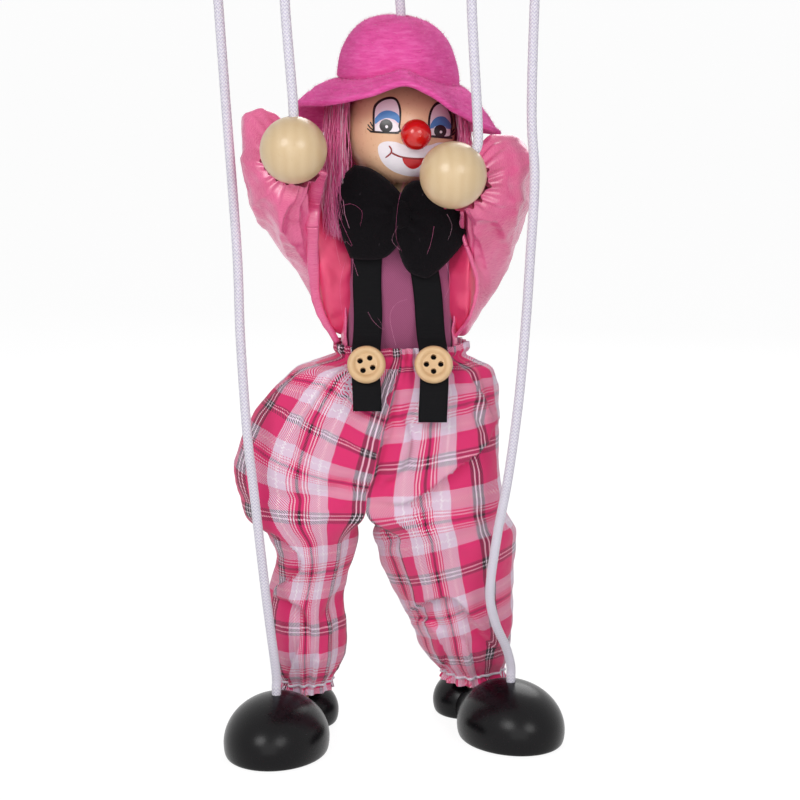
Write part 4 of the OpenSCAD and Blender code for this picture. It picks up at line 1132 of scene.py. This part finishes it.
# Hems of the sleeves in the picture, above and below the elbow's ring, with their widths
HEMS = {
    "right": ([(312, 226), (313, 262), (318, 306), (337, 342)], [4.2, 3.8, 3.0, 2.0],
              [(322, 172), (315, 194), (312, 227)], [3.8, 4.4, 4.2]),
    "left": ([(466, 244), (475, 270), (477, 292), (468, 320), (452, 340)], [1.2, 1.4, 1.4, 1.2, 1.2],
             [(462, 212), (462, 228), (466, 245)], [1.0, 1.4, 1.2]),
}
for side, stations in SLEEVES.items():
    grid = sleeve_grid(stations, 3 if side == "right" else 8, ARMS[side])
    uv = cloth_uv(grid, SLEEVE_STEPS * FLAT_STATION)
    cut = SLEEVE_STEPS * ELBOW_STATION
    turn = circle(AROUND_SLEEVE) + math.pi / AROUND_SLEEVE
    upper, lower = grid[:cut + 1], grid[cut:]
    low_line, low_width, top_line, top_width = HEMS[side]
    seen = to_picture((0.5 * (upper[:-1] + upper[1:])).reshape(-1, 3))
    edge = np.array(low_line, float)
    past = np.sign(stations[2][0][0]) * (seen[:, 0] - np.interp(seen[:, 1], edge[:, 1], edge[:, 0])) < 0
    # Painted shade: past the hem, on the front of the armhole, a darker crimson copy of the satin stands in
    # for the shade between sleeve and trunk
    tone = np.where(past & np.tile((np.sin(turn) < 0.8) & (np.cos(turn) > -0.05), cut), 1, 0)
    obj = piece(f"{side}_sleeve_top", upper.reshape(-1, 3), grid_faces(cut + 1, AROUND_SLEEVE, True),
                [satin, painted_shade_satin],
                uv[:cut + 1].reshape(-1, 2), which=tone)
    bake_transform(obj)
    obj = piece(f"{side}_sleeve_end", lower.reshape(-1, 3), grid_faces(len(lower), AROUND_SLEEVE, True),
                satin, uv[cut:].reshape(-1, 2))
    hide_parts(f"{side}_sleeve")
    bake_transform(obj)
    path = hem_path(top_line + low_line[1:], grid.reshape(-1, 3))
    widths = top_width + low_width[1:]
    widths = np.interp(np.linspace(0, 1, len(path)), np.linspace(0, 1, len(widths)), widths)
    k = int(np.argmin(np.abs(to_picture(path)[:, 1] - top_line[-1][1])))
    hem_strip(f"{side}_hem_top", path[:k + 1], widths[:k + 1])
    hem_strip(f"{side}_hem_low", path[k:], widths[k:])


# Trousers: each leg is an outer panel from the front seam round to the back,
# and an inner panel below the crotch
CROTCH = 84.0
KNEE_CUT = 70.0
CLOTH_TOP, WAIST_Z, CUFF_Z, CUFF_THREAD_Z, CLOTH_FOOT = 135.6, 131.6, 18.2, 18.6, 15.2
SEAT_POWER = 0.86
LAP_DEPTH = 1.5
LINE_POINTS = 32
SEAT = [(135.6, 0, 20.8, 14.8), (133.6, 0, 20.9, 14.6), (131.6, 0, 20.2, 13.9), (130.2, -0.4, 23.4, 14.8),
        (127.5, -2.2, 31.4, 16.4), (122, -4.2, 35.8, 17.8), (113, -7.3, 39.5, 18.8), (103, -9.7, 42.1, 19.2),
        (94, -10.8, 43.2, 19.0), (84, -9.2, 42.4, 18.0)]
SEAM = [(135.6, 0), (131.6, 0), (120, -3.0), (110, -6.0), (95, -9.5), (84, -10.8)]
LEGS = {
    "right": {"ring": [(84, -31.4, 20.1, 0.5, 17.0), (79, -30.1, 18.3, 1.0, 16.6),
                       (74, -28.7, 15.9, 1.8, 16.0), (69, -28.2, 14.3, 2.6, 15.2),
                       (65, -28.0, 13.0, 3.4, 14.4), (58, -29.0, 12.3, 5.2, 13.6),
                       (48, -30.8, 12.6, 7.8, 13.2), (38, -30.9, 13.2, 10.0, 13.4),
                       (29, -31.3, 13.0, 12.0, 12.6), (22, -31.4, 10.8, 13.6, 10.6),
                       (18.2, -31.6, 8.6, 14.2, 8.8), (15.2, -31.8, 9.4, 14.4, 9.4)],
              "v": [(136, -78), (131.6, -72), (127.5, -62), (122, -52), (112, -38), (81.7, 0), (40, 38),
                    (14, 62)], "u": -2.5,
              "sag": (0.45, -30.0, 80, 106), "slant": (0.0, 0.0)},
    "left": {"ring": [(84, 11.6, 22.0, 1.0, 17.6), (77, 14.0, 23.6, 2.4, 17.6), (67, 15.0, 23.0, 5.4, 17.0),
                      (50, 18.0, 19.7, 11.0, 15.4), (37, 20.7, 17.4, 16.0, 14.6),
                      (29, 21.7, 15.0, 19.4, 13.4), (23, 23.0, 12.6, 22.0, 11.6),
                      (18.2, 24.4, 9.6, 23.6, 9.4), (15.2, 24.8, 10.6, 24.2, 10.2)],
             "v": [(136, -88), (131.6, -82), (127.5, -72), (122, -62), (101, -38), (61, 0), (25, 38),
                   (14, 48)], "u": 1.0,
             "sag": (-0.16, 12.0, 80, 100), "slant": (-0.3, 17.0)},
}
# Folds of the cloth in the picture: line, half width and depth in millimetres; a negative depth is a ridge
FOLDS = {
    "right": [
        ([(345, 362), (318, 385), (296, 425), (288, 470)], 6, 1.3),
        ([(352, 376), (346, 420), (350, 466)], 6, 1.2),
        ([(360, 474), (330, 492), (290, 500), (250, 486)], 7, 1.3),
        ([(358, 490), (332, 512), (300, 522)], 7, -1.2),
        ([(238, 484), (276, 506), (308, 540), (308, 572)], 8, -1.4),
        ([(345, 590), (332, 604), (322, 626)], 6, 1.4),
        ([(276, 650), (280, 690)], 4, 1.0),
    ],
    "left": [
        ([(450, 370), (470, 400), (484, 430)], 6, 1.2),
        ([(425, 372), (432, 404), (430, 440)], 6, 1.0),
        ([(476, 362), (494, 388), (500, 410)], 6, 1.1),
        ([(440, 510), (410, 528), (376, 548)], 7, 1.4),
        ([(506, 520), (480, 536), (450, 540)], 8, 1.2),
        ([(490, 655), (492, 684)], 5, 1.2),
    ],
}
# Folds that lap over the cloth beside them: line, a place on the upper side, lift, drop,
# and how far each fades
LAPS = {
    "both": [
        ([(394.7, 374.7), (392.7, 401), (387.6, 427.8), (379.4, 454.3), (372.2, 478.8), (373.3, 494)],
         (360, 430), 1.9, 2.2, 14, 8),
        ([(399.8, 411.4), (411, 438), (406, 462.4), (393.7, 476.7), (374, 494)], (390, 440), 1.2, 1.6, 8, 6),
        ([(414, 392), (416, 427.8), (414, 454), (411, 482)], (430, 440), 1.2, 1.4, 14, 6),
        ([(501, 416), (483.5, 446), (465, 460.4), (438.6, 480.8), (422.2, 495), (403.9, 503.3), (385.5, 503)],
         (440, 440), 1.9, 2.4, 15, 9),
    ],
    "right": [
        ([(257, 527.8), (277.3, 536), (291.6, 546), (301.8, 560), (297.8, 574.7), (279.4, 584.9),
          (273.3, 593)],
         (330, 560), 1.5, 2.4, 12, 7),
        ([(273, 595), (291.6, 603), (301.8, 609.4), (308, 621.6), (312, 640)], (330, 600), 1.4, 2.0, 12, 7),
        ([(300, 640), (291, 668), (288, 692)], (306, 668), 1.2, 1.5, 7, 5),
        ([(320, 650), (313, 672), (311, 692)], (327, 672), 1.1, 1.4, 7, 5),
        ([(330, 356), (302, 372), (272, 396)], (300, 390), 0.8, 1.2, 8, 6),
        ([(350, 372), (340, 402), (316, 440)], (320, 402), 0.8, 1.1, 9, 6),
    ],
    "left": [
        ([(404, 613.5), (426.3, 603.3), (444.7, 597), (457, 601), (467, 613.5), (483.5, 634), (497, 650)],
         (470, 580), 1.7, 2.6, 14, 9),
        ([(408, 622), (422, 620), (434, 626), (441, 636), (443, 660), (446, 682)],
         (425, 650), 1.1, 1.5, 8, 5),
        ([(466, 640), (471, 660), (476, 684)], (455, 660), 1.2, 1.5, 8, 5),
        ([(455, 362), (478, 385), (491, 412)], (450, 395), 0.8, 1.1, 9, 6),
    ],
}


def table_at(table, z):
    """Smooth values of a table whose first column falls."""
    t = np.array(table, float)
    where = np.interp(-np.asarray(z), -t[:, 0], np.arange(len(t)))
    return bend(t[:, 1:], where)


def to_line(points, line):
    """Distance from picture points to a line of the picture, place along it from 0 to 1, and side of it."""
    curve = bend(np.array(line, float), np.linspace(0, len(line) - 1, LINE_POINTS))
    t = np.gradient(curve, axis=0)
    far = np.linalg.norm(points[:, None] - curve[None], axis=2)
    k = np.argmin(far, 1)
    d = points - curve[k]
    turn = np.sign(t[k, 0] * d[:, 1] - t[k, 1] * d[:, 0])
    return far[np.arange(len(points)), k], k / (LINE_POINTS - 1), turn


def beside_line(points, line, raised):
    """Distance to a line of the picture, positive on the raised side, and the place along it."""
    far, place, turn = to_line(points, line)
    return far * turn * to_line(np.array([raised], float), line)[2], place


def leg_cloth(side):
    """Heights of the rows of a leg's cloth, and the points of its outer and inner panels."""
    spec = LEGS[side]
    sign = -1 if side == "right" else 1
    z = np.concatenate([np.linspace(CLOTH_TOP, 128, 16)[:-1], np.linspace(128, CROTCH, 52)[:-1],
                        np.linspace(CROTCH, KNEE_CUT, 18)[:-1], np.linspace(KNEE_CUT, 24, 52)[:-1],
                        np.linspace(24, CLOTH_FOOT, 20)])
    seat = table_at(SEAT, np.maximum(z, CROTCH))
    seam = table_at(SEAM, np.maximum(z, CROTCH))
    ring = table_at(spec["ring"], np.minimum(z, CROTCH))

    def round_leg(r, b):
        return r[:, :1] + sign * r[:, 1:2] * np.cos(b)[None], r[:, 2:3] - r[:, 3:4] * np.sin(b)[None]

    # The outer panel turns from half the seat into most of the leg below the crotch
    w = smooth_step(CROTCH - z, 0, 13)[:, None]
    t = np.linspace(1, -1, 121)
    c, s = np.cos(t * np.pi / 2)[None], np.sin(t * np.pi / 2)[None]
    dx = seam + (seat[:, :1] + sign * seat[:, 1:2] - seam) * np.abs(c) ** SEAT_POWER
    dy = -seat[:, 2:3] * np.sign(s) * np.abs(s) ** SEAT_POWER + 0.6
    ex, ey = round_leg(ring, t * np.radians(130))
    outer = np.stack([dx * (1 - w) + ex * w, dy * (1 - w) + ey * w, np.broadcast_to(z[:, None], dx.shape)],
                     -1)
    # The inner panel closes the rest of the leg
    below = z <= CROTCH
    n = np.linspace(0, 1, 45)
    ex, ey = round_leg(ring[below], np.radians(230) - n * np.radians(100))
    first, last = outer[below][:, -1], outer[below][:, 0]
    inner = first[:, None] * (1 - n)[None, :, None] + last[:, None] * n[None, :, None]
    bow_out = np.sin(np.pi * n)[None] * w[below]
    inner[..., 0] = inner[..., 0] * (1 - bow_out) + ex * bow_out
    inner[..., 1] = inner[..., 1] * (1 - bow_out) + ey * bow_out
    return z, outer, inner


def crumple(points, middle, side, z, angle, seed):
    """Gathers at the waist and cuff, the picture's folds, and small wrinkles."""
    out = unit((points - middle) * [1, 1, 0])
    below_waist = np.clip(WAIST_Z - z, 0, None)
    push = 0.85 * np.exp(-below_waist / 9.0) * np.cos(33 * angle + 1.1 * np.sin(5 * angle))
    push += 0.7 * np.exp(-below_waist / 20.0) * crest(13 * angle + 0.5)
    push = np.where(np.abs(z - WAIST_Z) < 0.9, push * 0.55, push)
    cuff = 0.6 * np.cos(15 * angle + 1.3 * np.sin(4 * angle)) + 0.5 * np.cos(9 * angle
                                                                             + 2.0 * np.sin(3 * angle))
    push += np.exp(-np.clip(z - CUFF_Z, 0, None) / 6.0) * cuff
    shown = smooth_step(-out[:, 1], -0.15, 0.3)
    at_picture = to_picture(points)
    for line, width, depth in FOLDS[side]:
        far, place, _ = to_line(at_picture, line)
        fade = np.clip(3.5 * np.minimum(place, 1 - place) + 0.35, 0, 1)
        push -= depth * shown * np.exp(-(far / width) ** 2) * fade
    for line, raised, lift, drop, wide, narrow in LAPS["both"] + LAPS[side]:
        far, place = beside_line(at_picture, line, raised)
        step = np.where(far > 0, lift * np.exp(-np.abs(far) / wide), -drop * np.exp(-np.abs(far) / narrow))
        fade = np.clip(4 * np.minimum(place, 1 - place) + 0.1, 0, 1)
        push += LAP_DEPTH * shown * step * np.tanh(np.abs(far) / 1.6) * fade
    behind = 1 - shown
    push += behind * 1.9 * lumps(points * [1, 1, 0.6], 14.0, seed)
    push += (0.5 + 0.3 * behind) * lumps(points, 7.0, seed + 2) + 0.16 * lumps(points, 2.6, seed + 5)
    return points + out * push[:, None]


WAIST = {}
for side in ("right", "left"):
    z, outer, inner = leg_cloth(side)
    spec = LEGS[side]
    seed = 4 if side == "right" else 12
    below = z <= CROTCH
    ring = table_at(spec["ring"], np.minimum(z, CROTCH))
    seat = table_at(SEAT, np.maximum(z, CROTCH))
    centre_x = np.where(below, ring[:, 0], seat[:, 0] * 0.5 + ring[0, 0] * 0.5 * smooth_step(131 - z, 0, 40))
    centre = np.stack([centre_x, np.where(below, ring[:, 2], 0.5), z], 1)
    amount, middle, low, high = spec["sag"]
    lean, lean_from = spec["slant"]

    def plaid_uv(points, across):
        """Flat coordinates, with checks that sag at the seat and follow a slanting leg."""
        x, h = points[..., 0], points[..., 2]
        sag = amount * smooth_step(h, low, high) * (1 - smooth_step(h, 116, 130)) * (x - middle)
        slant = lean * (1 - smooth_step(h, 66, 90)) * smooth_step(h, 16, 40) * (x - lean_from)
        down = table_at(spec["v"], (h + sag + slant).ravel())[:, 0].reshape(h.shape)
        return np.stack(np.broadcast_arrays(across[None, :], down), -1)

    def crumpled(points, centres):
        angle = np.arctan2(points[..., 1] - centres[:, None, 1], points[..., 0] - centres[:, None, 0])
        middles = np.repeat(centres, points.shape[1], 0)
        return crumple(points.reshape(-1, 3), middles, side, middles[:, 2], angle.ravel(),
                       seed).reshape(points.shape)

    u = run_along(outer[int(np.argmin(np.abs(z - CROTCH)))]) + spec["u"]
    uv_outer, uv_inner = plaid_uv(outer, u), plaid_uv(inner, u[-1] + run_along(inner[0]))
    outer, inner = crumpled(outer, centre), crumpled(inner, centre[below])
    if side == "right":
        seam_line = outer[~below][:, [0, -1]].copy()
    else:
        outer[np.flatnonzero(~below)[:, None], [0, -1]] = seam_line
    inner[:, 0], inner[:, -1] = outer[below][:, -1], outer[below][:, 0]
    knee = int(np.argmin(np.abs(z - KNEE_CUT)))
    skip = int(np.argmax(below))
    for part, rows_outer, rows_inner in (("top", slice(0, knee + 1), slice(0, knee + 1 - skip)),
                                         ("lower", slice(knee, None), slice(knee - skip, None))):
        po, pi = outer[rows_outer], inner[rows_inner]
        faces = grid_faces(*po.shape[:2], False) + grid_faces(*pi.shape[:2], False, po.shape[0] * po.shape[1])
        points = np.concatenate([po.reshape(-1, 3), pi.reshape(-1, 3)])
        uv = np.concatenate([uv_outer[rows_outer].reshape(-1, 2), uv_inner[rows_inner].reshape(-1, 2)])
        obj = piece(f"{side}_trouser_{part}", points, faces, plaid, uv, outward=False)
        face_outward(obj, weld=0.02)
        if part == "top":
            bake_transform(obj)
            if side == "right":
                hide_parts("trouser_seat")
        else:
            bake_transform(obj)
            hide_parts(f"{side}_trouser_leg")
    k = int(np.argmin(np.abs(z - CUFF_THREAD_Z)))
    hoop = np.concatenate([outer[k], inner[k - skip][1:-1]])
    hoop = hoop + 0.2 * unit((hoop - centre[k]) * [1, 1, 0])
    points, faces, uv = loop_tube(hoop, 0.4, 0.45, 10)
    thread = piece(f"{side}_cuff_thread", points, faces, elastic, uv)
    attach(thread, f"{side}_shin")
    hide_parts(f"{side}_cuff_elastic")
    WAIST[side] = outer[int(np.argmin(np.abs(z - WAIST_Z)))]

low, high = (np.array(corner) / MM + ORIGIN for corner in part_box("waist_elastic"))
hoop = np.concatenate([WAIST["right"], WAIST["left"][::-1][1:-1]])
hoop = (hoop - [0, 0.6, 0]) * [0.93, 0.91, 1.0] + [0, 0.6, 0]
hoop[:, 2] = (low[2] + high[2]) / 2
points, faces, uv = loop_tube(hoop, 0.5, (high[2] - low[2]) / 2, 16)
band = piece("waist_band", points, faces, elastic, uv)
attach(band, "trunk")
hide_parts("waist_elastic")


# Bow and straps
KNOT = np.array([0.0, -15.0, 178.0])
LOBE_SIDES = 96


def lobe(name, outline, y_front, node, seed):
    """A stuffed felt leaf from its outline in the picture, creased towards the knot."""
    edge = bend(np.array([*outline, outline[0]], float), np.linspace(0, len(outline), LOBE_SIDES + 1))[:-1]
    rim = np.array([at(x, y, y_front) for x, y in edge])
    middle = rim.mean(0)
    rings = []
    for p in np.linspace(0.02, 1, 18):
        ring = middle + (rim - middle) * p
        swell = 4.4 * math.sqrt(max(0, 1 - p ** 3.2))
        away = ring - KNOT
        far = np.linalg.norm(away[:, [0, 2]], axis=1)
        fan = np.arctan2(away[:, 2], away[:, 0])
        crease = 0.9 * np.exp(-far / 9.0) * np.cos(9 * fan) * (1 - p ** 6)
        ring[:, 1] -= swell * (0.75 + 0.25 * np.tanh(far / 9.0)) + crease
        rings.append(ring)
    for p in np.linspace(0.97, 0.02, 12):
        ring = middle + (rim - middle) * p
        ring[:, 1] += 1.3 * math.sqrt(max(0, 1 - p ** 4)) + 0.2
        rings.append(ring)
    points = np.concatenate(rings)
    points[:, 1] += 0.35 * lumps(points, 5.0, seed)
    obj = piece(name, points, tube_faces(len(rings), LOBE_SIDES), felt)
    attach(obj, "trunk")
    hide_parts(node)


# Outline of each loop in the picture, depth of its rim and seed
BOW = {
    "right": ([(354, 165), (342, 178), (336, 196), (338, 223), (348, 253), (354, 259), (381, 259), (395, 249),
               (402, 236), (405, 214), (402, 196), (388, 180), (370, 168)], -13.6, 3),
    "left": ([(398, 232), (399, 252), (407, 270), (420, 277), (432, 276), (454, 255), (466, 237), (462, 221),
              (458, 206), (440, 188), (418, 180), (404, 188), (398, 208)], -13.2, 7),
}
for side, (outline, y_front, seed) in BOW.items():
    lobe(f"bow_{side}", outline, y_front, f"bow_{side}_loop", seed)

KNOT_ROWS, KNOT_SIDES = 25, 40
turn = circle(KNOT_SIDES)
knot_rows = []
for s in np.linspace(-0.98, 0.98, KNOT_ROWS):
    r = math.sqrt(1 - s * s) * (1 + 0.07 * np.cos(7 * turn + 2 * s))
    knot_rows.append(KNOT + np.stack([4.2 * r * np.cos(turn), 3.0 * r * np.sin(turn),
                                      np.full(KNOT_SIDES, 4.6 * s)], 1))
knot = piece("bow_knot_felt", np.concatenate(knot_rows), tube_faces(KNOT_ROWS, KNOT_SIDES), felt)
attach(knot, "trunk")
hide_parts("bow_knot")

STRAP_W = 9.0
STRAP_T = 0.6
across = np.linspace(-1, 1, 15)
for side, x, lean, low in (("right", -10.5, 0.6, (-21.8, 117.0)), ("left", 10.5, -4.0, (-21.8, 113.5))):
    path = even([(x + lean, -10.6, 170), (x + 0.66 * lean, -10.6, 158), (x + 0.3 * lean, -10.7, 146),
                 (x + 0.12 * lean, -13.0, 139.5),
                 (x, -16.2, 135.5), (x, -18.4, 131), (x, -20.0, 126.5), (x, *low)], 0.5)
    face = np.cross(unit(np.gradient(path, axis=0)), [1.0, 0, 0])
    curl = 0.5 * 0.35 * across ** 4
    rings = []
    for k, p in enumerate(path):
        middle = p + np.array([0.25 * math.sin(k * 0.11 + x), 0, 0])
        spread = middle + np.outer(STRAP_W / 2 * across, [1.0, 0, 0])
        front = spread + np.outer(STRAP_T - 0.12 * np.abs(across) ** 8 - curl, face[k])
        back = spread - np.outer(curl, face[k])
        rings.append(np.concatenate([front, back[::-1]]))
    uv = flat_map(np.concatenate([across, across[::-1]]) * STRAP_W / 2, run_along(path))
    obj = piece(f"{side}_ribbon", np.concatenate(rings), tube_faces(len(rings), 2 * len(across)), ribbon, uv)
    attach(obj, "trunk")
    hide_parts(f"{side}_strap")


# Buttons: a turned rim round a dish with four holes
BUTTON = [(0.05, 0.0), (3.0, 0.0), (5.2, 0.05), (5.75, 0.45), (6.0, 1.2), (5.95, 1.9), (5.6, 2.6),
          (5.0, 2.95), (4.4, 2.9), (3.9, 2.6), (3.5, 2.25), (3.1, 2.1), (1.8, 2.08), (0.05, 2.05)]
BUTTON_ROWS, BUTTON_SIDES = 52, 72
BUTTON_LEAN = math.radians(22.9)
SIDEWAYS = np.array([1.0, 0, 0])
FACING = np.array([0, -math.cos(BUTTON_LEAN), math.sin(BUTTON_LEAN)])
RISING = np.array([0, math.sin(BUTTON_LEAN), math.cos(BUTTON_LEAN)])
HOLE_OUT, HOLE_R = 2.25, 0.9
for side, x, turned in (("right", -10.5, 17.0), ("left", 10.5, 45.0)):
    base = np.array([x, -18.65, 131.0])
    r, h = bend(BUTTON, np.linspace(0, len(BUTTON) - 1, BUTTON_ROWS)).T[..., None]
    rings = base + (h * FACING)[:, None] + spokes(r * SIDEWAYS, r * RISING, circle(BUTTON_SIDES))
    button = piece(f"{side}_wood_button", rings.reshape(-1, 3), tube_faces(BUTTON_ROWS, BUTTON_SIDES),
                   button_wood)
    drills = []
    for k in range(4):
        w = math.radians(turned + 45 + 90 * k)
        spot = base + HOLE_OUT * (math.cos(w) * SIDEWAYS + math.sin(w) * RISING)
        drills.append(rod_between(f"drill_{k}", spot - FACING, spot + 4 * FACING, HOLE_R, button_wood))
    carve(button, drills)
    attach(button, "trunk")
    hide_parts(f"{side}_button")

# Shoes: turned lengthwise, toe ball, waist and heel ball, with a flat sole
TOE_LONG, TOE_R, HEEL_R, HEEL_BACK, AXIS_H = 21.0, 17.0, 11.5, 31.0, 4.5
TOE_HIGH = 0.9
SOLE_ROUND = 1.5
TOE_ROWS, HEEL_ROWS, SHOE_SIDES = 60, 40, 112
# The slot for the shin, the eye round its pin and the hole for the cord
ANKLE_BACK, ANKLE_H, SLOT_HALF, SLOT_SWING, SLOT_HIGH, EYE_R = 23.0, 8.0, 3.8, 9.3, 20.0, 4.3
CORD_HOLE_R, CORD_HOLE = 1.7, (17.5, 25.0)
UP = np.array([0, 0, 1.0])
toe_turn = np.radians(np.linspace(179.4, 35, TOE_ROWS))
heel_turn = np.radians(np.linspace(140, 0.6, HEEL_ROWS))
shoe_s = np.concatenate([TOE_LONG * np.cos(toe_turn), HEEL_BACK + HEEL_R * np.cos(heel_turn)])
shoe_r = np.concatenate([TOE_R * np.sin(toe_turn), HEEL_R * np.sin(heel_turn)])
soft_r = np.convolve(np.pad(shoe_r, 2, mode="edge"), np.ones(5) / 5, mode="valid")
waist_near = np.exp(-((np.arange(len(shoe_r)) - (TOE_ROWS - 0.5)) / 5.0) ** 2)
shoe_r = shoe_r * (1 - waist_near) + soft_r * waist_near
turn = circle(SHOE_SIDES)
wide = shoe_r[:, None] * np.cos(turn)
rise = AXIS_H + shoe_r[:, None] * np.sin(turn) * np.where(np.sin(turn) > 0, TOE_HIGH, 1.0)
rise = 0.5 * (rise + np.sqrt(rise ** 2 + SOLE_ROUND ** 2))
BOX_FACES = [(0, 1, 2, 3), (4, 5, 6, 7), (0, 1, 5, 4), (1, 2, 6, 5), (2, 3, 7, 6), (3, 0, 4, 7)]
for side, toe, splay in (("right", (-40.5, -7.5), -15.0), ("left", (37.0, 6.0), 27.0)):
    w = math.radians(splay)
    back, sideways = np.array([-math.sin(w), math.cos(w), 0]), np.array([math.cos(w), math.sin(w), 0])
    grid = np.array([*toe, 0]) + shoe_s[:, None, None] * back + wide[..., None] * sideways
    grid = grid + rise[..., None] * UP
    shoe = piece(f"{side}_turned_shoe", grid.reshape(-1, 3), tube_faces(len(shoe_s), SHOE_SIDES), black_gloss)
    ankle = np.array([*toe, 0]) + ANKLE_BACK * back + ANKLE_H * UP
    corners = [ankle + x * SLOT_HALF * sideways + y * SLOT_SWING * back + h * UP
               for h in (0, SLOT_HIGH) for x, y in ((-1, -1), (1, -1), (1, 1), (-1, 1))]
    half = SLOT_HALF * sideways
    slot = piece("slot", corners, BOX_FACES, black_gloss)
    eye = rod_between("eye", ankle - half, ankle + half, EYE_R, black_gloss)
    hole = rod_between("hole", *((*toe, h) for h in CORD_HOLE), CORD_HOLE_R, black_gloss)
    carve(shoe, [slot, eye, hole])
    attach(shoe, f"{side}_foot")
    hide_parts(f"{side}_shoe")

# Knots on the control, one on each cord's end
KNOT_REACH, KNOT_R = 0.78, 1.15
TIE_SIDES = 16
TAIL = np.array([(0.6, 0.2, -0.4), (2.4, 1.0, 0.2), (4.2, 1.4, -0.3), (5.6, 1.2, -0.8)])
turn = circle(96)
trefoil = KNOT_REACH * np.stack([np.sin(turn) + 2 * np.sin(2 * turn), np.cos(turn) - 2 * np.cos(2 * turn),
                                 -1.25 * np.sin(3 * turn)], 1)
points, faces, uv = [], [], []
routes = [HEAD_ROUTE, *HAND_ROUTES.values(), *FOOT_ROUTES.values()]
for k, (x, y, top) in enumerate(route[-1] for route in routes):
    w = 0.9 * k
    spin = np.array([[math.cos(w), -math.sin(w), 0], [math.sin(w), math.cos(w), 0], [0, 0, 1]])
    spot = np.array([x, y, top + KNOT_R + KNOT_REACH])
    tail = even(spot + TAIL @ spin.T, 0.3)
    tail_points, tail_uv = tube_points(tail, KNOT_R, TIE_SIDES)
    for some, its_faces, its_uv in (loop_tube(spot + trefoil @ spin.T, KNOT_R, KNOT_R, TIE_SIDES),
                                    (tail_points, tube_faces(len(tail), TIE_SIDES), tail_uv)):
        start = sum(len(q) for q in points)
        points.append(some)
        faces += [tuple(start + i for i in f) for f in its_faces]
        uv.append(its_uv)
knots = piece("tied_knots", np.concatenate(points), faces, white_cord, np.concatenate(uv))
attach(knots, "control")
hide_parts("cord_knots")


# Stage and light
def seen_rays(tree, *kinds):
    """1 for rays of these kinds, else 0."""
    path = tree.nodes.new("ShaderNodeLightPath")
    out = path.outputs[kinds[0]]
    for kind in kinds[1:]:
        either = tree.nodes.new("ShaderNodeMath")
        either.operation = "MAXIMUM"
        tree.links.new(out, either.inputs[0])
        tree.links.new(path.outputs[kind], either.inputs[1])
        out = either.outputs[0]
    return out


# White of the floor as the camera sees it: its own glow, and a share of the light and shadow on it
FLOOR_GLOW, FLOOR_LIT = 0.9, 0.22
FLOOR_HALF = 30000


def ground():
    g = Paint("floor", 0.9)
    grain = g.noise(g.coord(), 40.0, 4.0)
    g.colour(g.mix(g.math("MULTIPLY", grain, 0.3), srgb(246, 246, 247), srgb(238, 238, 240)))
    lit = g.shader.outputs[0]
    glow = g.node("ShaderNodeEmission", {"Strength": FLOOR_GLOW})
    clear = g.node("ShaderNodeBsdfDiffuse", {"Color": (0, 0, 0, 1)})
    dim = g.node("ShaderNodeMixShader", {0: FLOOR_LIT, 1: clear.outputs[0], 2: lit})
    both = g.node("ShaderNodeAddShader", {0: glow.outputs[0], 1: dim.outputs[0]})
    shown = seen_rays(g.tree, "Is Camera Ray", "Is Glossy Ray")
    pick = g.node("ShaderNodeMixShader", {0: shown, 1: lit, 2: both.outputs[0]})
    g.put(g.tree.nodes["Material Output"].inputs["Surface"], pick.outputs[0])
    return g.m


corners = [(x * FLOOR_HALF, y * FLOOR_HALF, 0) for x, y in ((-1, -1), (1, -1), (1, 1), (-1, 1))]
floor = piece("floor", corners, [(0, 1, 2, 3)], ground(), outward=False)

# The world lights the object softly, and is white where it is seen or mirrored
ROOM_LIGHT, BACKDROP = 0.3, 1.0
world = bpy.data.worlds.new("studio")
bpy.context.scene.world = world
world.use_nodes = True
sky = world.node_tree
plain, white = sky.nodes["Background"], sky.nodes.new("ShaderNodeBackground")
for background, strength in ((plain, ROOM_LIGHT), (white, BACKDROP)):
    background.inputs["Color"].default_value = (1, 1, 1, 1)
    background.inputs["Strength"].default_value = strength
choose = sky.nodes.new("ShaderNodeMixShader")
shown = seen_rays(sky, "Is Camera Ray", "Is Glossy Ray", "Is Transmission Ray")
for socket, source in zip(choose.inputs, (shown, plain.outputs[0], white.outputs[0])):
    sky.links.new(source, socket)
sky.links.new(choose.outputs[0], sky.nodes["World Output"].inputs["Surface"])


def lamp(name, place, target, size, watts):
    data = bpy.data.lights.new(name, "AREA")
    data.shape = "DISK"
    data.size = size
    data.energy = watts
    obj = bpy.data.objects.new(name, data)
    obj.location = row(place)
    obj.rotation_euler = (Vector(row(target)) - Vector(row(place))).to_track_quat("-Z", "Y").to_euler()
    bpy.context.scene.collection.objects.link(obj)


lamp("key", (-420, -700, 620), (0, 0, 140), 0.4, 2.9)
lamp("second", (400, -760, 560), (0, 0, 140), 0.4, 2.0)
lamp("front", (-40, -900, 230), (0, 0, 130), 0.7, 1.2)
lamp("back", (150, 600, 500), (0, 0, 150), 0.5, 1.8)

bpy.context.scene.view_settings.view_transform = "Standard"
